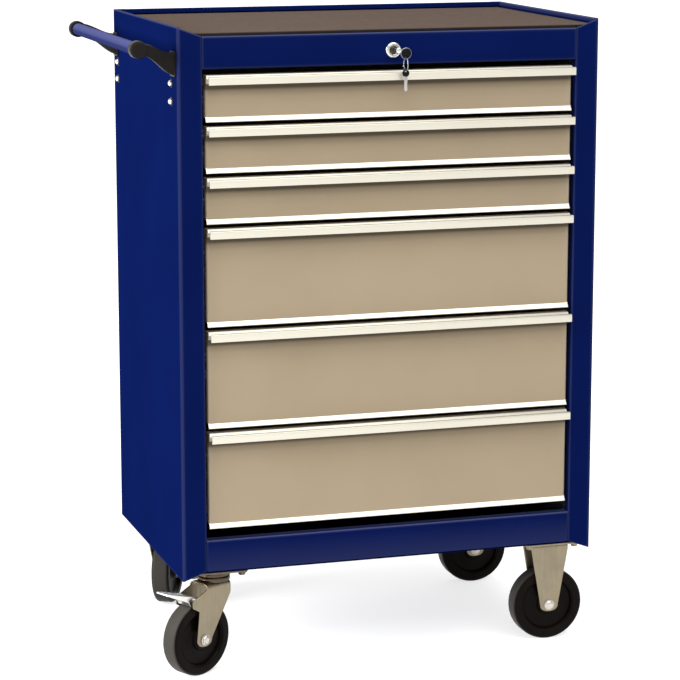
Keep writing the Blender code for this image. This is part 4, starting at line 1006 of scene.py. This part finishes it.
def combined(tree, operation, first, second):
    """Two values made into one by a math operation."""
    node = tree.nodes.new("ShaderNodeMath")
    node.operation = operation
    tree.links.new(first, node.inputs[0])
    tree.links.new(second, node.inputs[1])
    return node.outputs["Value"]


def seen_directly(tree):
    """One for rays from the camera, off glossy surfaces and through clear ones, and zero for the rest."""
    ray = tree.nodes.new("ShaderNodeLightPath").outputs
    seen = combined(tree, "MAXIMUM", ray["Is Camera Ray"], ray["Is Glossy Ray"])
    return combined(tree, "MAXIMUM", seen, ray["Is Transmission Ray"])


spot = tree.nodes.new("ShaderNodeTexCoord")
away = tree.nodes.new("ShaderNodeVectorMath")
away.operation = "LENGTH"
tree.links.new(spot.outputs["Object"], away.inputs[0])
level = mapped(tree, away.outputs["Value"], (0.5, 2.5), (0.70, 1.0))
tree.links.new(combined(tree, "MULTIPLY", level, seen_directly(tree)), glow.inputs["Strength"])
both = tree.nodes.new("ShaderNodeAddShader")
tree.links.new(shader.outputs["BSDF"], both.inputs[0])
tree.links.new(glow.outputs["Emission"], both.inputs[1])
tree.links.new(both.outputs["Shader"], tree.nodes["Material Output"].inputs["Surface"])
floor_mesh.materials.append(paper)

world = bpy.data.worlds.new("studio_surround")
bpy.context.scene.world = world
world.use_nodes = True
tree = world.node_tree
even = tree.nodes["Background"]
even.inputs["Color"].default_value = (1, 1, 1, 1)
even.inputs["Strength"].default_value = 0.40
white = tree.nodes.new("ShaderNodeBackground")
white.inputs["Color"].default_value = (1, 1, 1, 1)
white.inputs["Strength"].default_value = 1.0
chosen = tree.nodes.new("ShaderNodeMixShader")
tree.links.new(seen_directly(tree), chosen.inputs["Fac"])
tree.links.new(even.outputs["Background"], chosen.inputs[1])
tree.links.new(white.outputs["Background"], chosen.inputs[2])
tree.links.new(chosen.outputs["Shader"], tree.nodes["World Output"].inputs["Surface"])


def soft_lamp(name, place, aim, width, power):
    """A square soft lamp at a place, turned to its aim."""
    light = bpy.data.lights.new(name, "AREA")
    light.size = width
    light.energy = power
    lamp = added(name, light)
    lamp.location = place
    towards = Vector(aim) - Vector(place)
    lamp.rotation_euler = towards.to_track_quat("-Z", "Y").to_euler()


soft_lamp("overhead_lamp", (0.1, -1.9, 3.6), (0, 0, 0.5), 3.6, 115)
soft_lamp("left_lamp", (-3.9, -0.5, 1.7), (0, 0, 0.5), 1.4, 138)

azimuth, elevation, distance = math.radians(-17.356), math.radians(11.007), 4.0116
focal_pixels, picture_pixels, sensor_width = 2605.6, 680, 36
aim = Vector(shell_home + (-0.0846, 0, 0.3657))
level_back = math.cos(elevation)
back = Vector((math.sin(azimuth) * level_back, -math.cos(azimuth) * level_back, math.sin(elevation)))
view = bpy.data.cameras.new("studio_camera")
view.lens = focal_pixels / picture_pixels * sensor_width
view.sensor_width = sensor_width
view.clip_end = 200
camera = added("studio_camera", view)
camera.location = aim + back * distance
camera.rotation_euler = (-back).to_track_quat("-Z", "Y").to_euler()
bpy.context.scene.camera = camera
bpy.context.scene.view_settings.view_transform = "Standard"
